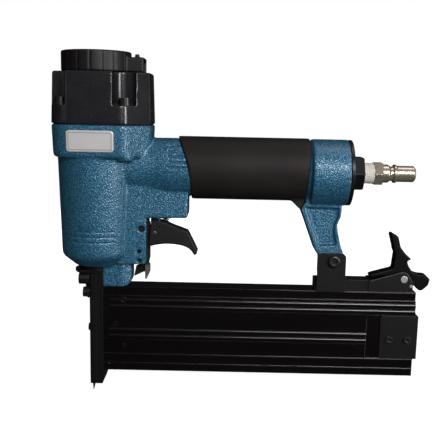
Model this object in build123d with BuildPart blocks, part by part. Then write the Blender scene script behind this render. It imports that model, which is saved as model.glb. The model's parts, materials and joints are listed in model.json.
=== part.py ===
from build123d import *
import os
from math import cos, radians, sin, tan

# Pneumatic brad nailer for brads up to 50 mm, in millimetres.
# Origin: the driver's axis at the nose's lower face.
# +Z runs up the driver's axis, +X to the rear, and -Y to the shown side.

# Clearances
fit = 0.05  # radial play of a sliding or turning fit
press = 0.01  # radial play of a fixed pin, thread or spigot
run_gap = 0.3  # between pieces that move past each other
seat_gap = 0.1  # between a sleeve and its core

# Drive line, from the nose's lower face upwards
nose_length = 80.0
nose_flange_thickness = 1.5
nose_boss_height = 3.1
floor_thickness = 7.9
floor_bore = 3.0
bumper_thickness = 7.5
bumper_edge = 1.5
stroke = 64.0
piston_thickness = 9.0
headroom = 2.5
band_rise = 4.7
bore_radius = 16.5
sleeve_wall = 2.0
return_gap = 2.0
sleeve_collar_height = 8.0
return_port_radius = 1.5
blade_thickness = 1.2
blade_width = 3.0
blade_tip_rest = 64.0
blade_grip = 6.0
neck_radius = 4.2
neck_foot_gap = 0.8  # neck above the floor at the end of the stroke
piston_pin_radius = 0.75
ring_wire = 1.1  # section radius of the seals of the drive line

# Casting: band, barrel and plan of the band and cap
band_height = 21.5
band_draft = 2.4
band_edge_radius = 2.5
plan_lip = 1.6  # band's half width beyond the barrel's top
plan_front_inset = 0.7  # front, shoulder and rear of the plan from its half width
plan_shoulder_inset = 6.0
plan_rear_reach = 10.3
plan_rear_half = 11.0
plan_front_radius = 15.0
plan_shoulder_radius = 7.0
plan_rear_radius = 8.0
barrel_wall = 5.9  # round the air chamber, at the barrel's top
barrel_taper = 2.3
barrel_foot_inset = 9.1
barrel_foot_round = 1.5
barrel_cone_height = 7.7
barrel_cone_round = 5.0
groove_count = 3
groove_pitch = 3.65
groove_first = 18.5  # height of the lowest groove above the barrel's foot
groove_depth = 0.6
groove_height = 1.0
groove_arc = 72.0

# Casting: handle and rear head
handle_drop = 28.0  # handle axis below the band's top
grip_half_height = 21.2
grip_half_width = 19.6
grip_proud_height = 1.5  # grip over the shoulder in front of it
grip_proud_width = 1.2
grip_wall = 2.8
grip_front_x = 54.7  # at the grip's top
grip_front_bow = 8.0
grip_front_lean = 9.4
grip_rear_x = 142.7
grip_rear_slant = 3.3
beak_length = 7.0
beak_root = 1.5
shoulder_root_x = 12.0  # where the shoulder leaves the barrel's middle
shoulder_root_half = 12.6
air_radius = 11.5
rib_count = 5
rib_pitch = 3.55
rib_first = 1.0  # height of the lowest rib line above the handle axis
rib_start_x = 48.6
rib_depth = 1.0
rib_height = 1.3
head_drop = 1.5  # head axis below the handle axis
head_x = 144.6
head_length = 25.2
head_radius = 22.4
head_edge = 1.5

# Casting: trigger block, flange, legs
block_drop = 33.7  # lower face of the block below the handle axis
block_rear_x = 62.5
block_half = 11.0  # at the block's rear
block_front_half = 13.5
block_edge = 1.5
flange_rear_x = 34.6
flange_drop = 31.8  # lower face of the flange below the block
flange_slot_x = 24.0
flange_slot_half = 3.2
lug_front_x = 36.5
lug_rear_x = 43.4
lug_half = 3.0
lug_root = 1.0
lug_drop = 14.8
front_leg_length = 19.8
front_leg_half = 10.0
front_leg_ridge_x = 17.8  # where its sides turn in towards its rear
front_leg_rear_half = 6.5
front_leg_round = 6.0
leg_half = 8.4
leg_front_x = 138.8
leg_front_drop = 26.2  # top of the leg's slanted front edge below the handle axis
leg_rear_x = 166.3
leg_knee = (-12.5, 5.9)  # offsets from the mount screw
leg_waist = [(4.6, 9.8), (2.1, 20.1), (1.5, 25.0), (3.9, 31.2)]
leg_recess = [
    (-20.9, 36.8), (2.6, 36.6), (2.2, 30.4), (0.0, 24.6),
    (-0.2, 20.1), (1.2, 14.2), (1.5, 10.6), (-10.8, 10.0),
]
leg_round = 3.5
recess_slope = 20.0
tongue_width = 15.8
tongue_round = 2.5
recess_depth = 2.6

# Cap and its valve
gasket_thickness = 0.5
gasket_inset = 1.0
cap_height = 33.5
cap_draft = 1.7
cap_edge = 1.6
screw_inset = 8.0  # cap screws inside the plan's half width
rear_screw_reach = 1.6  # rear cap screws further out along X
front_pocket_radius = 4.2
rear_pocket_radius = 7.2
pocket_floor = 12.0  # above the cap's lower face
cap_screw_radius = 2.0
cap_screw_length = 26.0
cap_screw_head_radius = 3.5
cap_screw_head_height = 4.0
cap_washer_radius = 3.8
cap_washer_thickness = 1.0
screw_boss_drop = 1.5
screw_boss_radius = 5.4
valve_lift = 3.0
valve_flange_lap = 0.1  # over the sleeve's outside
valve_flange_thickness = 3.7
valve_seal_thickness = 2.1
valve_seal_width = 7.0
valve_cavity_play = 0.9
valve_cavity_height = 15.0
valve_stem_radius = 8.0
valve_stem_length = 22.0
valve_stem_bore = 3.5
valve_chamber_height = 27.0  # ceiling of the stem's chamber above the cap's lower face
valve_spring_radius = 12.0
valve_spring_wire = 0.9
valve_spring_turns = 4
exhaust_port_radius = 2.0
exhaust_port_circle = 5.2

# Exhaust deflector
deflector_inset = 4.8  # inside the plan's half width
deflector_height = 13.2
deflector_wall = 2.6
deflector_edge = 0.9
deflector_hub_radius = 5.5
deflector_washer_thickness = 0.8
stud_inset = 5.2  # in front of the spout's mouth
stud_radius = 1.6
stud_height = 2.4
flute_count = 18
flute_radius = 0.55
flute_phase = 9.0
spout_inset = 6.0  # spout's mouth in front of the cap's rear
spout_half = 9.5
spout_height = 9.6
spout_wall = 2.0
deflector_screw_radius = 2.0
deflector_screw_length = 19.5
deflector_screw_head_radius = 3.8
deflector_screw_head_height = 2.6

# Badge on the band
badge_width = 30.4
badge_height = 13.8
badge_thickness = 0.8
badge_corner = 2.0
badge_x = 0.2
badge_drop = 10.3  # badge centre below the band's top

# Air inlet
end_flange_inset = 0.2
end_flange_thickness = 2.0
end_hex_flats = 21.6
end_hex_length = 8.6
end_hex_chamfer = 0.8
head_wall = 6.4
spigot_length = 11.0
inlet_thread_radius = 6.5
inlet_bore = 3.8
tape_length = 7.4
tape_wall = 0.6
plug_thread_length = 17.0
plug_hex_flats = 14.6
plug_hex_length = 5.6
plug_neck_radius = 6.2
plug_neck_length = 5.8
plug_groove_radius = 4.9
plug_groove_length = 1.8
plug_collar_radius = 6.3
plug_collar_length = 2.6
plug_nose_radius = 5.5
plug_nose_length = 12.4
plug_chamfer = 1.2
plug_rounds = [0, 0, 0.8, 0.8, 0.3, 0.8, 0.5, 0.3, 0, 0.5, 0]

# Trigger valve
stem_x = 47.1
stem_radius = 2.2
stem_edge = 0.6
stem_gap = 0.75  # stem end above the trigger's top corner
stem_head_radius = 4.2
stem_head_height = 2.5
stem_tail_radius = 1.5
stem_tail_length = 9.5
bushing_radius = 6.5
bushing_length = 15.0
bushing_nose_radius = 3.6
bushing_nose_length = 1.6
bushing_floor = 7.5
bushing_chamber_radius = 4.7
valve_cap_thickness = 3.5
valve_ring_wire = 0.8
valve_ring_shares = [0.2, 0.8]  # of the bushing's length
stem_spring_radius = 2.7
stem_spring_wire = 0.4
stem_spring_turns = 3

# Trigger, as offsets from its pivot
trigger_pivot_x = 39.5
trigger_pivot_drop = 11.2  # below the block
trigger_half = 5.8
trigger_top = [(-2.3, 9.6), (8.0, 7.3), (10.4, 5.8), (22.8, 1.2), (29.4, -12.0)]
trigger_tip = (27.2, -15.0)
trigger_finger = [(21.8, -9.6), (15.0, -7.9), (6.0, -7.7)]
trigger_heel = (-4.2, -9.9)
trigger_slot_end = 5.9
trigger_edge = 0.9
trigger_round = 1.6
trigger_pin_radius = 1.5
pin_edge = 0.4  # rounding of the trigger's and the latch's pin ends

# Trigger lock, as offsets from its pivot
lock_pivot_x = 29.7
lock_pivot_drop = 23.0  # below the block
lock_half = 1.0
lock_edge = 0.5
lock_eye_radius = 3.6
lock_pin_radius = 1.4
lock_outline = [
    (-2.6, 2.4), (3.9, 5.0), (4.4, 19.0), (6.5, 19.0), (6.6, -5.8), (5.7, -9.8), (6.3, -11.4), (6.2, -17.0),
    (4.4, -21.0), (3.1, -22.6), (2.8, -16.2), (-4.8, -20.0), (-3.2, -12.4), (2.6, -10.0), (1.2, -3.0),
]
lock_tab_half = 4.0
lock_tab = [(3.3, -11.0), (6.3, -11.4), (6.2, -17.0), (4.4, -21.0), (3.3, -21.0)]
lock_spring_radius = 2.2
lock_spring_wire = 0.3
lock_spring_turns = 3
flange_pin_radius = 2.2
flange_pin_x = 31.4
flange_pin_drop = 7.4
lower_pin_x = 30.1
lower_pin_drop = 29.2
lower_pin_sink = 1.0

# Nose
nose_lip = 0.1  # nose beyond the magazine's side
nose_edge = 1.5
nose_flange_lip = 0.6
nose_flange_half = 11.0
nose_boss_radius = 12.0
nose_front_thickness = 4.8
nose_rear_thickness = 4.5
nose_slot_play = 0.15
nose_heel_reach = 2.5
nose_heel_inset = 0.6
nose_heel_edge = 1.0
tip_outline = [(-4.4, 0.0), (-1.2, 0.0), (-3.1, -4.4), (-3.9, -8.4), (-4.3, -4.0)]
tip_half = 1.6
bolt_half_pitch = 5.2
upper_bolt_drop = 5.0  # below the nose's top
upper_bolt_radius = 2.5
upper_bolt_length = 23.0
upper_bolt_head_radius = 4.2
upper_bolt_head_height = 4.6
upper_washer_thickness = 2.8
lower_bolt_drop = 14.8
lower_bolt_radius = 2.0
lower_bolt_head_radius = 3.5
lower_bolt_head_height = 3.0
lower_washer_thickness = 1.7
washer_margin = 0.6
guide_screw_z = 40.4
guide_screw_half_pitch = 6.0
guide_screw_radius = 1.5
guide_screw_head_radius = 2.6
guide_screw_head_height = 1.0

# Magazine
mag_drop = 10.0  # magazine top below the nose's top
mag_height = 59.7
mag_length = 215.7
mag_half = 9.4
mag_top_wall = 6.0
mag_top_half = 8.0
mag_floor = 2.0
channel_half = 0.9
lip_thickness = 1.5
lip_height = 2.0
mag_play = 0.2
rail_y = 4.5
rail_neck_half = 1.0
rail_head_half = 2.2
rail_neck_height = 1.8
rail_head_height = 2.0
bead_height = 3.2
bead_pitch = 4.4
bead_rise = 0.8
bead_tops = [8.0, 29.2]  # top of each pair of beads below the magazine's top
line_drops = [15.6, 36.9, 47.8, 54.5]  # fine edge lines below the magazine's top
line_rise = 0.35
line_height = 0.9
bead_start = 4.6
flat_start_x = 187.0
flat_depth = 0.2
pusher_slot_low = 27.0  # lower edge of the pusher's groove above the magazine's floor
pusher_slot_height = 14.0
pusher_slot_depth = 6.0
pusher_slot_end_wall = 6.0
pusher_length = 16.0
pusher_plate_thickness = 1.0
pusher_plate_margin = 2.0
rod_radius = 1.5
pusher_spring_radius = 2.35
pusher_spring_wire = 0.4
pusher_spring_turns = 14
tower_front_x = 188.0
tower_length = 26.0
tower_half = 3.4
mag_screws = [(14.7, 8.6), (15.0, 41.7), (8.4, 26.3), (4.8, 54.3)]  # behind the front end, below the top
mag_screw_radius = 1.1
mag_screw_head_radius = 1.7
mag_screw_head_height = 0.7
mag_screw_length = 5.0

# Rear clip
clip_x = 196.5
clip_low = 12.7  # above the magazine's lower face
clip_height = 30.5
clip_thickness = 1.2
clip_gap = 1.0
clip_corner = 2.0
clip_screw_half_pitch = 6.25
clip_screw_inset = 12.8
clip_screw_drop = 13.6
clip_screw_radius = 1.5
clip_screw_head_radius = 2.6
clip_screw_head_height = 1.2
clip_screw_length = 5.0

# Bracket between the rear leg and the magazine
bracket_x = 151.3
bracket_length = 19.4
bracket_height = 26.8
bracket_sheet = 1.5
far_cheek_inset = 3.2
bracket_corner = 3.5
bracket_base = 2.0
rail_block_x = 150.3
rail_block_end_x = 187.4
rail_block_height = 7.6
rail_block_half = 6.0
mount_screw_x = 162.4
mount_screw_height = 21.2
mount_screw_radius = 2.5
mount_screw_head_radius = 4.2
mount_screw_head_height = 2.4
mount_nut_flats = 8.0
mount_nut_height = 4.0

# Magazine latch, its outlines as offsets from its pivot
latch_x = 211.4
latch_height = 9.2  # pivot above the magazine's top
latch_pin_radius = 2.4
latch_pin_head = 0.8
cheek_half = 8.0
cheek_sheet = 1.4
latch_base_gap = 0.4
latch_base_sheet = 1.5
cheek_outline = [(-23.6, -8.8), (6.4, -8.8), (6.4, -2.4), (2.0, 4.6), (-1.6, 5.0), (-23.6, -1.6)]
cheek_round = [0.5, 0.5, 3.0, 3.0, 3.0, 1.0]
lever_half = 4.6
lever_front = [(-22.8, 2.0), (-22.8, 0.0), (-7.0, 1.6), (-4.6, -4.6), (0.0, -5.6), (8.0, -5.2)]
lever_wing = [(9.8, -6.4), (11.6, -8.8), (14.1, -8.4), (17.9, -4.8), (19.0, -0.6), (16.2, 2.3), (11.6, 2.5)]
lever_back = [(6.9, 3.9), (3.7, 8.5), (2.4, 12.0), (5.6, 13.2), (0.9, 17.3), (-2.6, 21.9), (-4.4, 29.1)]
lever_nose = [(-9.5, 31.9), (-9.9, 29.9), (-7.4, 21.2), (-7.3, 19.5), (-6.1, 17.7), (-7.1, 6.5)]
lever_edge = 0.7
latch_spring_radius = 3.4
latch_spring_wire = 0.45
latch_spring_turns = 3
latch_screw_radius = 1.2
latch_screw_head_radius = 1.9
latch_screw_head_height = 1.0
latch_screw_length = 6.0
latch_screw_places = [-15.5, -9.5]
rivet_offset = (5.0, -4.7)
rivet_radius = 1.0
rivet_head = 0.5

# Widths worked out from the bore
chamber_radius = bore_radius + sleeve_wall + return_gap
barrel_top_radius = chamber_radius + barrel_wall
barrel_low_radius = barrel_top_radius - barrel_taper
barrel_foot_radius = barrel_low_radius - barrel_foot_inset
plan_half = barrel_top_radius + plan_lip
plan_front = plan_half - plan_front_inset
plan_shoulder = plan_half - plan_shoulder_inset
plan_rear = plan_half + plan_rear_reach
screw_half_pitch = plan_half - screw_inset
rear_screw_x = screw_half_pitch + rear_screw_reach
valve_flange_radius = bore_radius + sleeve_wall + valve_flange_lap
valve_cavity_radius = valve_flange_radius + valve_cavity_play
deflector_radius = plan_half - deflector_inset
spout_x = plan_rear - spout_inset
stud_x = spout_x - stud_inset
nose_flange_radius = barrel_foot_radius + nose_flange_lip

# Widths of the grip, the head and the nose
shoulder_half_height = grip_half_height - grip_proud_height
shoulder_half_width = grip_half_width - grip_proud_width
end_flange_radius = head_radius - end_flange_inset
spigot_radius = head_radius - head_wall
nose_half = mag_half + nose_lip

# Heights worked out from the drive line
boss_z = nose_length + nose_flange_thickness
barrel_z = boss_z + nose_boss_height
floor_z = barrel_z + floor_thickness
bumper_top_z = floor_z + bumper_thickness
neck_length = bumper_thickness + run_gap - neck_foot_gap
piston_z = bumper_top_z + run_gap + stroke
piston_top_z = piston_z + piston_thickness
sleeve_top_z = piston_top_z + headroom
band_top_z = sleeve_top_z + band_rise
band_z = band_top_z - band_height
cap_z = band_top_z + gasket_thickness
cap_top_z = cap_z + cap_height
deflector_z = cap_top_z + run_gap
deflector_top_z = deflector_z + deflector_height
pocket_z = cap_z + pocket_floor
valve_seal_z = sleeve_top_z + run_gap
valve_flange_z = valve_seal_z + valve_seal_thickness
valve_flange_top_z = valve_flange_z + valve_flange_thickness
valve_cavity_top_z = cap_z + valve_cavity_height
handle_axis_z = band_top_z - handle_drop
head_axis_z = handle_axis_z - head_drop
head_end_x = head_x + head_length
block_z = handle_axis_z - block_drop
flange_z = block_z - flange_drop
trigger_pivot_z = block_z - trigger_pivot_drop
lock_pivot_z = block_z - lock_pivot_drop
mag_top_z = nose_length - mag_drop
mag_z = mag_top_z - mag_height
mag_x = nose_rear_thickness
mag_end_x = mag_x + mag_length
channel_z = mag_z + mag_floor + mag_play
channel_top_z = mag_top_z - mag_top_wall
latch_z = mag_top_z + latch_height
stem_z = trigger_pivot_z + trigger_top[1][1] + stem_gap
corner_places = [(x, side * screw_half_pitch) for x in (-screw_half_pitch, rear_screw_x) for side in (-1, 1)]


def plane_x(x, z, y=0.0):
    """Plane across the X axis, with Y to its right and Z up."""
    return Plane(origin=(x, y, z), x_dir=(0, 1, 0), z_dir=(1, 0, 0))


def plane_y(y, x, z):
    """Plane across the Y axis, with X to its right, Z up and its normal to -Y."""
    return Plane(origin=(x, y, z), x_dir=(1, 0, 0), z_dir=(0, -1, 0))


def plane_z(z, x=0.0, y=0.0):
    """Plane across the Z axis."""
    return Plane(origin=(x, y, z))


def outline(plane, points, radius=0.0):
    """Closed outline through the points, with one corner radius or a list of them."""
    with BuildSketch(plane) as face:
        with BuildLine():
            FilletPolyline(*points, radius=radius, close=True)
        make_face()
    return face.sketch


def slab(points, half, radius=0.0, mode=Mode.ADD):
    """Add an X-Z outline, as thick as twice half about the middle plane."""
    extrude(outline(Plane.XZ, points, radius), amount=half, both=True, mode=mode)


def block(low, high, mode=Mode.ADD):
    """Add a box between two corners."""
    centre = tuple((a + b) / 2 for a, b in zip(low, high))
    size = [b - a for a, b in zip(low, high)]
    with Locations(centre):
        Box(*size, mode=mode)


def disc(plane, radius, height, hole=0.0, mode=Mode.ADD):
    """Add a disc or a ring that stands on a plane."""
    with BuildSketch(plane) as face:
        Circle(radius)
        if hole > 0:
            Circle(hole, mode=Mode.SUBTRACT)
    extrude(face.sketch, amount=height, mode=mode)


def hexagon(plane, flats, height):
    """Add a hexagon with two flats level with the plane's right-hand axis."""
    with BuildSketch(plane) as face:
        RegularPolygon(flats / 2, 6, major_radius=False)
    extrude(face.sketch, amount=height)


def oval(plane, half_width, half_height, length, mode=Mode.ADD):
    """Add an elliptical bar."""
    with BuildSketch(plane) as face:
        Ellipse(half_width, half_height)
    extrude(face.sketch, amount=length, mode=mode)


def socket_screw(plane, radius, length, head_radius, head_height, socket_share=0.55):
    """Add a screw whose head stands on the plane, with a hexagon socket."""
    disc(plane, head_radius, head_height)
    disc(plane, radius, -length)
    with BuildSketch(plane.offset(head_height)) as face:
        RegularPolygon(head_radius * socket_share, 6)
    extrude(face.sketch, amount=-head_height * socket_share, mode=Mode.SUBTRACT)


def seal_ring(axis, plane, offset, along, wire):
    """Add a round-section ring about an axis; the plane's right-hand axis points away from it."""
    with BuildSketch(plane) as face:
        with Locations((offset, along)):
            Circle(wire)
    revolve(face.sketch, axis=axis)


def ring_groove(plane, outer, inner, height):
    """Cut a square groove round a bar that runs along the plane's normal."""
    disc(plane, outer, height, hole=inner, mode=Mode.SUBTRACT)


def coil(plane, radius, wire, height, turns):
    """Add a coil spring that stands on a plane, its wire wholly between its two ends."""
    pitch = (height - 2 * wire) / turns
    foot = plane.offset(wire)
    with BuildLine() as path:
        Helix(pitch, pitch * turns, radius, center=foot.origin, direction=foot.z_dir)
    start = path.line @ 0
    with BuildSketch(Plane(origin=start, z_dir=path.line % 0)) as face:
        Circle(wire)
    sweep(face.sketch, path=path.line, is_frenet=True)


def plan(plane, inset=0.0):
    """Rounded square of the band and the cap, with the bulge towards the handle."""
    front = plan_front - inset
    half = plan_half - inset
    rear = plan_rear - inset
    points = [
        (-front, -half), (plan_shoulder, -half), (rear, -plan_rear_half),
        (rear, plan_rear_half), (plan_shoulder, half), (-front, half),
    ]
    radii = [
        plan_front_radius, plan_shoulder_radius, plan_rear_radius,
        plan_rear_radius, plan_shoulder_radius, plan_front_radius,
    ]
    return outline(plane, points, radii)


def about(x, z, offsets):
    """Offsets from a pivot as X-Z points."""
    return [(x + dx, z + dz) for dx, dz in offsets]


def grip_bed(gap):
    """Side outline of the grip's bed, between the curved front shoulder and the straight rear one."""
    reach = grip_half_height + head_radius
    rear = reach * tan(radians(grip_rear_slant))
    front_top = (grip_front_x + gap, handle_axis_z + grip_half_height)
    front_middle = (grip_front_x + grip_front_bow + gap, handle_axis_z)
    front_low = (grip_front_x + grip_front_lean + gap, handle_axis_z - grip_half_height)
    with BuildSketch(Plane.XZ) as face:
        with BuildLine():
            ThreePointArc(front_top, front_middle, front_low)
            Polyline(
                front_low,
                (front_low[0], handle_axis_z - reach),
                (grip_rear_x - gap - rear, handle_axis_z - reach),
                (grip_rear_x - gap + rear, handle_axis_z + reach),
                (front_top[0], handle_axis_z + reach),
                front_top,
            )
        make_face()
    return face.sketch


def shoulder_x(z):
    """Where the shoulder behind the grip stands at a height."""
    return grip_rear_x - (handle_axis_z - z) * tan(radians(grip_rear_slant))


def save(piece, name):
    """Label a finished piece and write it."""
    piece.part.label = name
    export_step(piece.part, f"parts/{name}.step")


os.makedirs("parts", exist_ok=True)

# Casting
core_half_height = grip_half_height - grip_wall
core_half_width = grip_half_width - grip_wall
side_down = Plane(origin=(0, 0, band_top_z), x_dir=(1, 0, 0), z_dir=(0, 0, -1))
bracket_top_z = mag_top_z + bracket_height
tongue_x = bracket_x + (bracket_length - tongue_width) / 2
tongue_z = mag_top_z + rail_block_height + run_gap
leg_top_z = head_axis_z - head_radius / 2
mount_screw_z = mag_top_z + mount_screw_height
leg_shoulder_z = handle_axis_z - grip_half_height
leg_points = [
    (shoulder_x(leg_top_z), leg_top_z),
    (shoulder_x(leg_shoulder_z), leg_shoulder_z),
    (leg_front_x, handle_axis_z - leg_front_drop),
    *about(mount_screw_x, mount_screw_z, [leg_knee]),
    (tongue_x, bracket_top_z - bracket_corner),
    (tongue_x, tongue_z),
    (tongue_x + tongue_width, tongue_z),
    (tongue_x + tongue_width, bracket_top_z),
    *about(mount_screw_x, mount_screw_z, leg_waist),
    (leg_rear_x, leg_top_z),
]
leg_rounds = [0, 0, leg_round / 3, leg_round, 0, tongue_round, tongue_round, 0]
leg_rounds += [leg_round] * len(leg_waist) + [0]

with BuildPart() as shoulder:
    for x, half_width in ((shoulder_root_x, shoulder_root_half), (rib_start_x, shoulder_half_width)):
        with BuildSketch(plane_x(x, handle_axis_z)):
            Ellipse(half_width, shoulder_half_height)
    loft()

with BuildPart() as trigger_block:
    slab(
        [
            (0, handle_axis_z), (grip_front_x, handle_axis_z),
            (block_rear_x, handle_axis_z - core_half_height / 2), (block_rear_x, block_z),
            (flange_rear_x, block_z), (flange_rear_x, flange_z), (barrel_foot_radius, flange_z),
        ],
        block_front_half,
        [0, 0, 0, block_edge, block_edge / 2, block_edge, 0],
    )
    block_plan = [
        (0, -block_front_half), (flange_slot_x, -block_front_half), (block_rear_x, -block_half),
        (block_rear_x, block_half), (flange_slot_x, block_front_half), (0, block_front_half),
    ]
    extrude(outline(plane_z(flange_z), block_plan), amount=handle_axis_z - flange_z, mode=Mode.INTERSECT)

with BuildPart() as front_leg:
    slab(
        [
            (mag_x, floor_z), (mag_x + front_leg_length, floor_z),
            (mag_x + front_leg_length, mag_top_z), (mag_x, mag_top_z),
        ],
        front_leg_half,
        [0, 0, front_leg_round, 0],
    )
    front_leg_plan = [
        (mag_x, -front_leg_half), (front_leg_ridge_x, -front_leg_half),
        (mag_x + front_leg_length, -front_leg_rear_half), (mag_x + front_leg_length, front_leg_rear_half),
        (front_leg_ridge_x, front_leg_half), (mag_x, front_leg_half),
    ]
    extrude(outline(plane_z(mag_top_z), front_leg_plan), amount=floor_z - mag_top_z, mode=Mode.INTERSECT)

with BuildPart() as leg_panels:
    panel = outline(plane_y(leg_half, mount_screw_x, mount_screw_z), leg_recess)
    extrude(panel, amount=recess_depth, taper=recess_slope)
    mirror(about=Plane.XZ)

with BuildPart() as body_housing:
    # Band round the cylinder's top
    extrude(plan(side_down), amount=band_height, taper=band_draft)
    fillet(body_housing.faces().sort_by(Axis.Z)[0].edges(), band_edge_radius)
    # Handle with its two shoulders and the core under the grip
    oval(
        plane_x(rib_start_x, handle_axis_z), shoulder_half_width, shoulder_half_height,
        head_x + head_edge - rib_start_x,
    )
    add(shoulder.part)
    extrude(grip_bed(0), amount=plan_half, both=True, mode=Mode.SUBTRACT)
    for rib in range(rib_count):
        rib_z = rib_first + rib * rib_pitch
        with BuildSketch(plane_x(rib_start_x, handle_axis_z)):
            Ellipse(shoulder_half_width + rib_depth, shoulder_half_height + rib_depth)
            Ellipse(shoulder_half_width - rib_depth, shoulder_half_height - rib_depth, mode=Mode.SUBTRACT)
            with Locations((0, rib_z)):
                Rectangle(2 * plan_half, rib_height, mode=Mode.INTERSECT)
        extrude(amount=grip_front_x + grip_front_lean - rib_start_x, mode=Mode.SUBTRACT)
    oval(plane_x(0, handle_axis_z), core_half_width, core_half_height, head_x + head_edge)
    # Bosses of the rear cap screws
    for side in (-1, 1):
        boss_base = plane_z(band_z - screw_boss_drop, rear_screw_x, side * screw_half_pitch)
        disc(boss_base, screw_boss_radius, band_height / 2)
    # Barrel
    with BuildSketch(Plane.XZ):
        with BuildLine():
            FilletPolyline(
                (0, barrel_z),
                (barrel_foot_radius, barrel_z),
                (barrel_low_radius, barrel_z + barrel_cone_height),
                (barrel_top_radius, band_z + band_edge_radius),
                (0, band_z + band_edge_radius),
                radius=[0, barrel_foot_round, barrel_cone_round, 0, 0],
                close=True,
            )
        make_face()
    revolve(axis=Axis.Z)
    # Trigger block with its flange, and the lug that carries the trigger
    add(trigger_block.part)
    slab(
        [
            (lug_front_x, block_z + lug_root), (lug_rear_x, block_z + lug_root),
            (lug_rear_x, block_z - lug_drop), (lug_front_x, block_z - lug_drop),
        ],
        lug_half,
        [0, 0, lug_half, lug_half],
    )
    # Front leg
    add(front_leg.part)
    # Rear head and leg
    disc(plane_x(head_x, head_axis_z), head_radius, head_length)
    slab(leg_points, leg_half, leg_rounds)
    add(leg_panels.part, mode=Mode.SUBTRACT)
    # Grooves round the barrel's shown and hidden sides
    for groove in range(groove_count):
        groove_z = barrel_z + groove_first + groove * groove_pitch
        cone_z = barrel_z + barrel_cone_height
        lift = (groove_z - cone_z) / (band_z - cone_z)
        groove_radius = barrel_low_radius + lift * (barrel_top_radius - barrel_low_radius) - groove_depth
        for start in (-90 - groove_arc / 2, 90 - groove_arc / 2):
            aim = radians(start)
            radial = Plane(origin=(0, 0, 0), x_dir=(cos(aim), sin(aim), 0), z_dir=(sin(aim), -cos(aim), 0))
            with BuildSketch(radial):
                with Locations((groove_radius + return_gap, groove_z)):
                    Rectangle(2 * return_gap, groove_height)
            revolve(axis=Axis.Z, revolution_arc=groove_arc, mode=Mode.SUBTRACT)
    # Air spaces and bores
    disc(plane_z(floor_z), chamber_radius, band_top_z - floor_z, mode=Mode.SUBTRACT)
    disc(plane_z(barrel_z), floor_bore, floor_thickness, mode=Mode.SUBTRACT)
    disc(plane_x(0, handle_axis_z), air_radius, head_end_x - spigot_length, mode=Mode.SUBTRACT)
    disc(plane_x(head_end_x, head_axis_z), spigot_radius + press, -spigot_length, mode=Mode.SUBTRACT)
    disc(plane_z(block_z, stem_x), bushing_radius + press, handle_axis_z - block_z, mode=Mode.SUBTRACT)
    for x, y in corner_places:
        hole = plane_z(band_top_z, x, y)
        depth = cap_screw_length - pocket_floor - gasket_thickness + cap_washer_thickness
        disc(hole, cap_screw_radius + press, -depth, mode=Mode.SUBTRACT)
    # Slot of the trigger lock, and the cross holes
    lock_slot_x = lug_front_x - block_edge / 2
    slab(
        [
            (flange_slot_x, flange_z - block_edge), (lock_slot_x, flange_z - block_edge),
            (lock_slot_x, block_z - block_edge / 2), (flange_slot_x, block_z - block_edge / 2),
        ],
        flange_slot_half,
        mode=Mode.SUBTRACT,
    )
    cross_holes = [
        (flange_pin_x, block_z - flange_pin_drop, flange_pin_radius, block_front_half),
        (lock_pivot_x, lock_pivot_z, lock_pin_radius, block_front_half),
        (lower_pin_x, block_z - lower_pin_drop, lock_pin_radius, block_front_half),
        (trigger_pivot_x, trigger_pivot_z, trigger_pin_radius, lug_half),
        (mount_screw_x, mount_screw_z, mount_screw_radius, leg_half),
    ]
    for x, z, radius, half in cross_holes:
        disc(plane_y(half, x, z), radius + press, 2 * half, mode=Mode.SUBTRACT)
    for side in (-1, 1):
        hole = plane_x(mag_x, nose_length - upper_bolt_drop, side * bolt_half_pitch)
        depth = upper_bolt_length - nose_front_thickness - nose_rear_thickness - upper_washer_thickness
        disc(hole, upper_bolt_radius + press, depth + run_gap, mode=Mode.SUBTRACT)
save(body_housing, "body_housing")

# Cylinder sleeve with its collar and return ports
collar_radius = chamber_radius - fit
collar_z = sleeve_top_z - sleeve_collar_height
with BuildPart() as cylinder_sleeve:
    disc(plane_z(floor_z), bore_radius + sleeve_wall, sleeve_top_z - floor_z)
    disc(plane_z(collar_z), collar_radius, sleeve_collar_height)
    disc(plane_z(floor_z), bore_radius, sleeve_top_z - floor_z, mode=Mode.SUBTRACT)
    ring_groove(
        plane_z(collar_z + sleeve_collar_height / 2 - ring_wire - fit),
        chamber_radius, chamber_radius - 2 * (ring_wire + fit), 2 * (ring_wire + fit),
    )
    with Locations(Location((0, 0, bumper_top_z + 2 * return_port_radius))):
        with PolarLocations(0, 3, angular_range=180):
            Cylinder(return_port_radius, 2 * chamber_radius, rotation=(0, 90, 0), mode=Mode.SUBTRACT)
save(cylinder_sleeve, "cylinder_sleeve")

with BuildPart() as sleeve_o_ring:
    seal_ring(
        Axis.Z, Plane.XZ, chamber_radius - ring_wire - fit / 2, collar_z + sleeve_collar_height / 2, ring_wire
    )
save(sleeve_o_ring, "sleeve_o_ring")

# Rubber bumper on the cylinder's floor
with BuildPart() as bumper:
    disc(plane_z(floor_z), bore_radius - seat_gap, bumper_thickness, hole=neck_radius + 2 * run_gap)
    fillet(bumper.edges().group_by(Axis.Z)[-1], bumper_edge)
save(bumper, "bumper")

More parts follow.
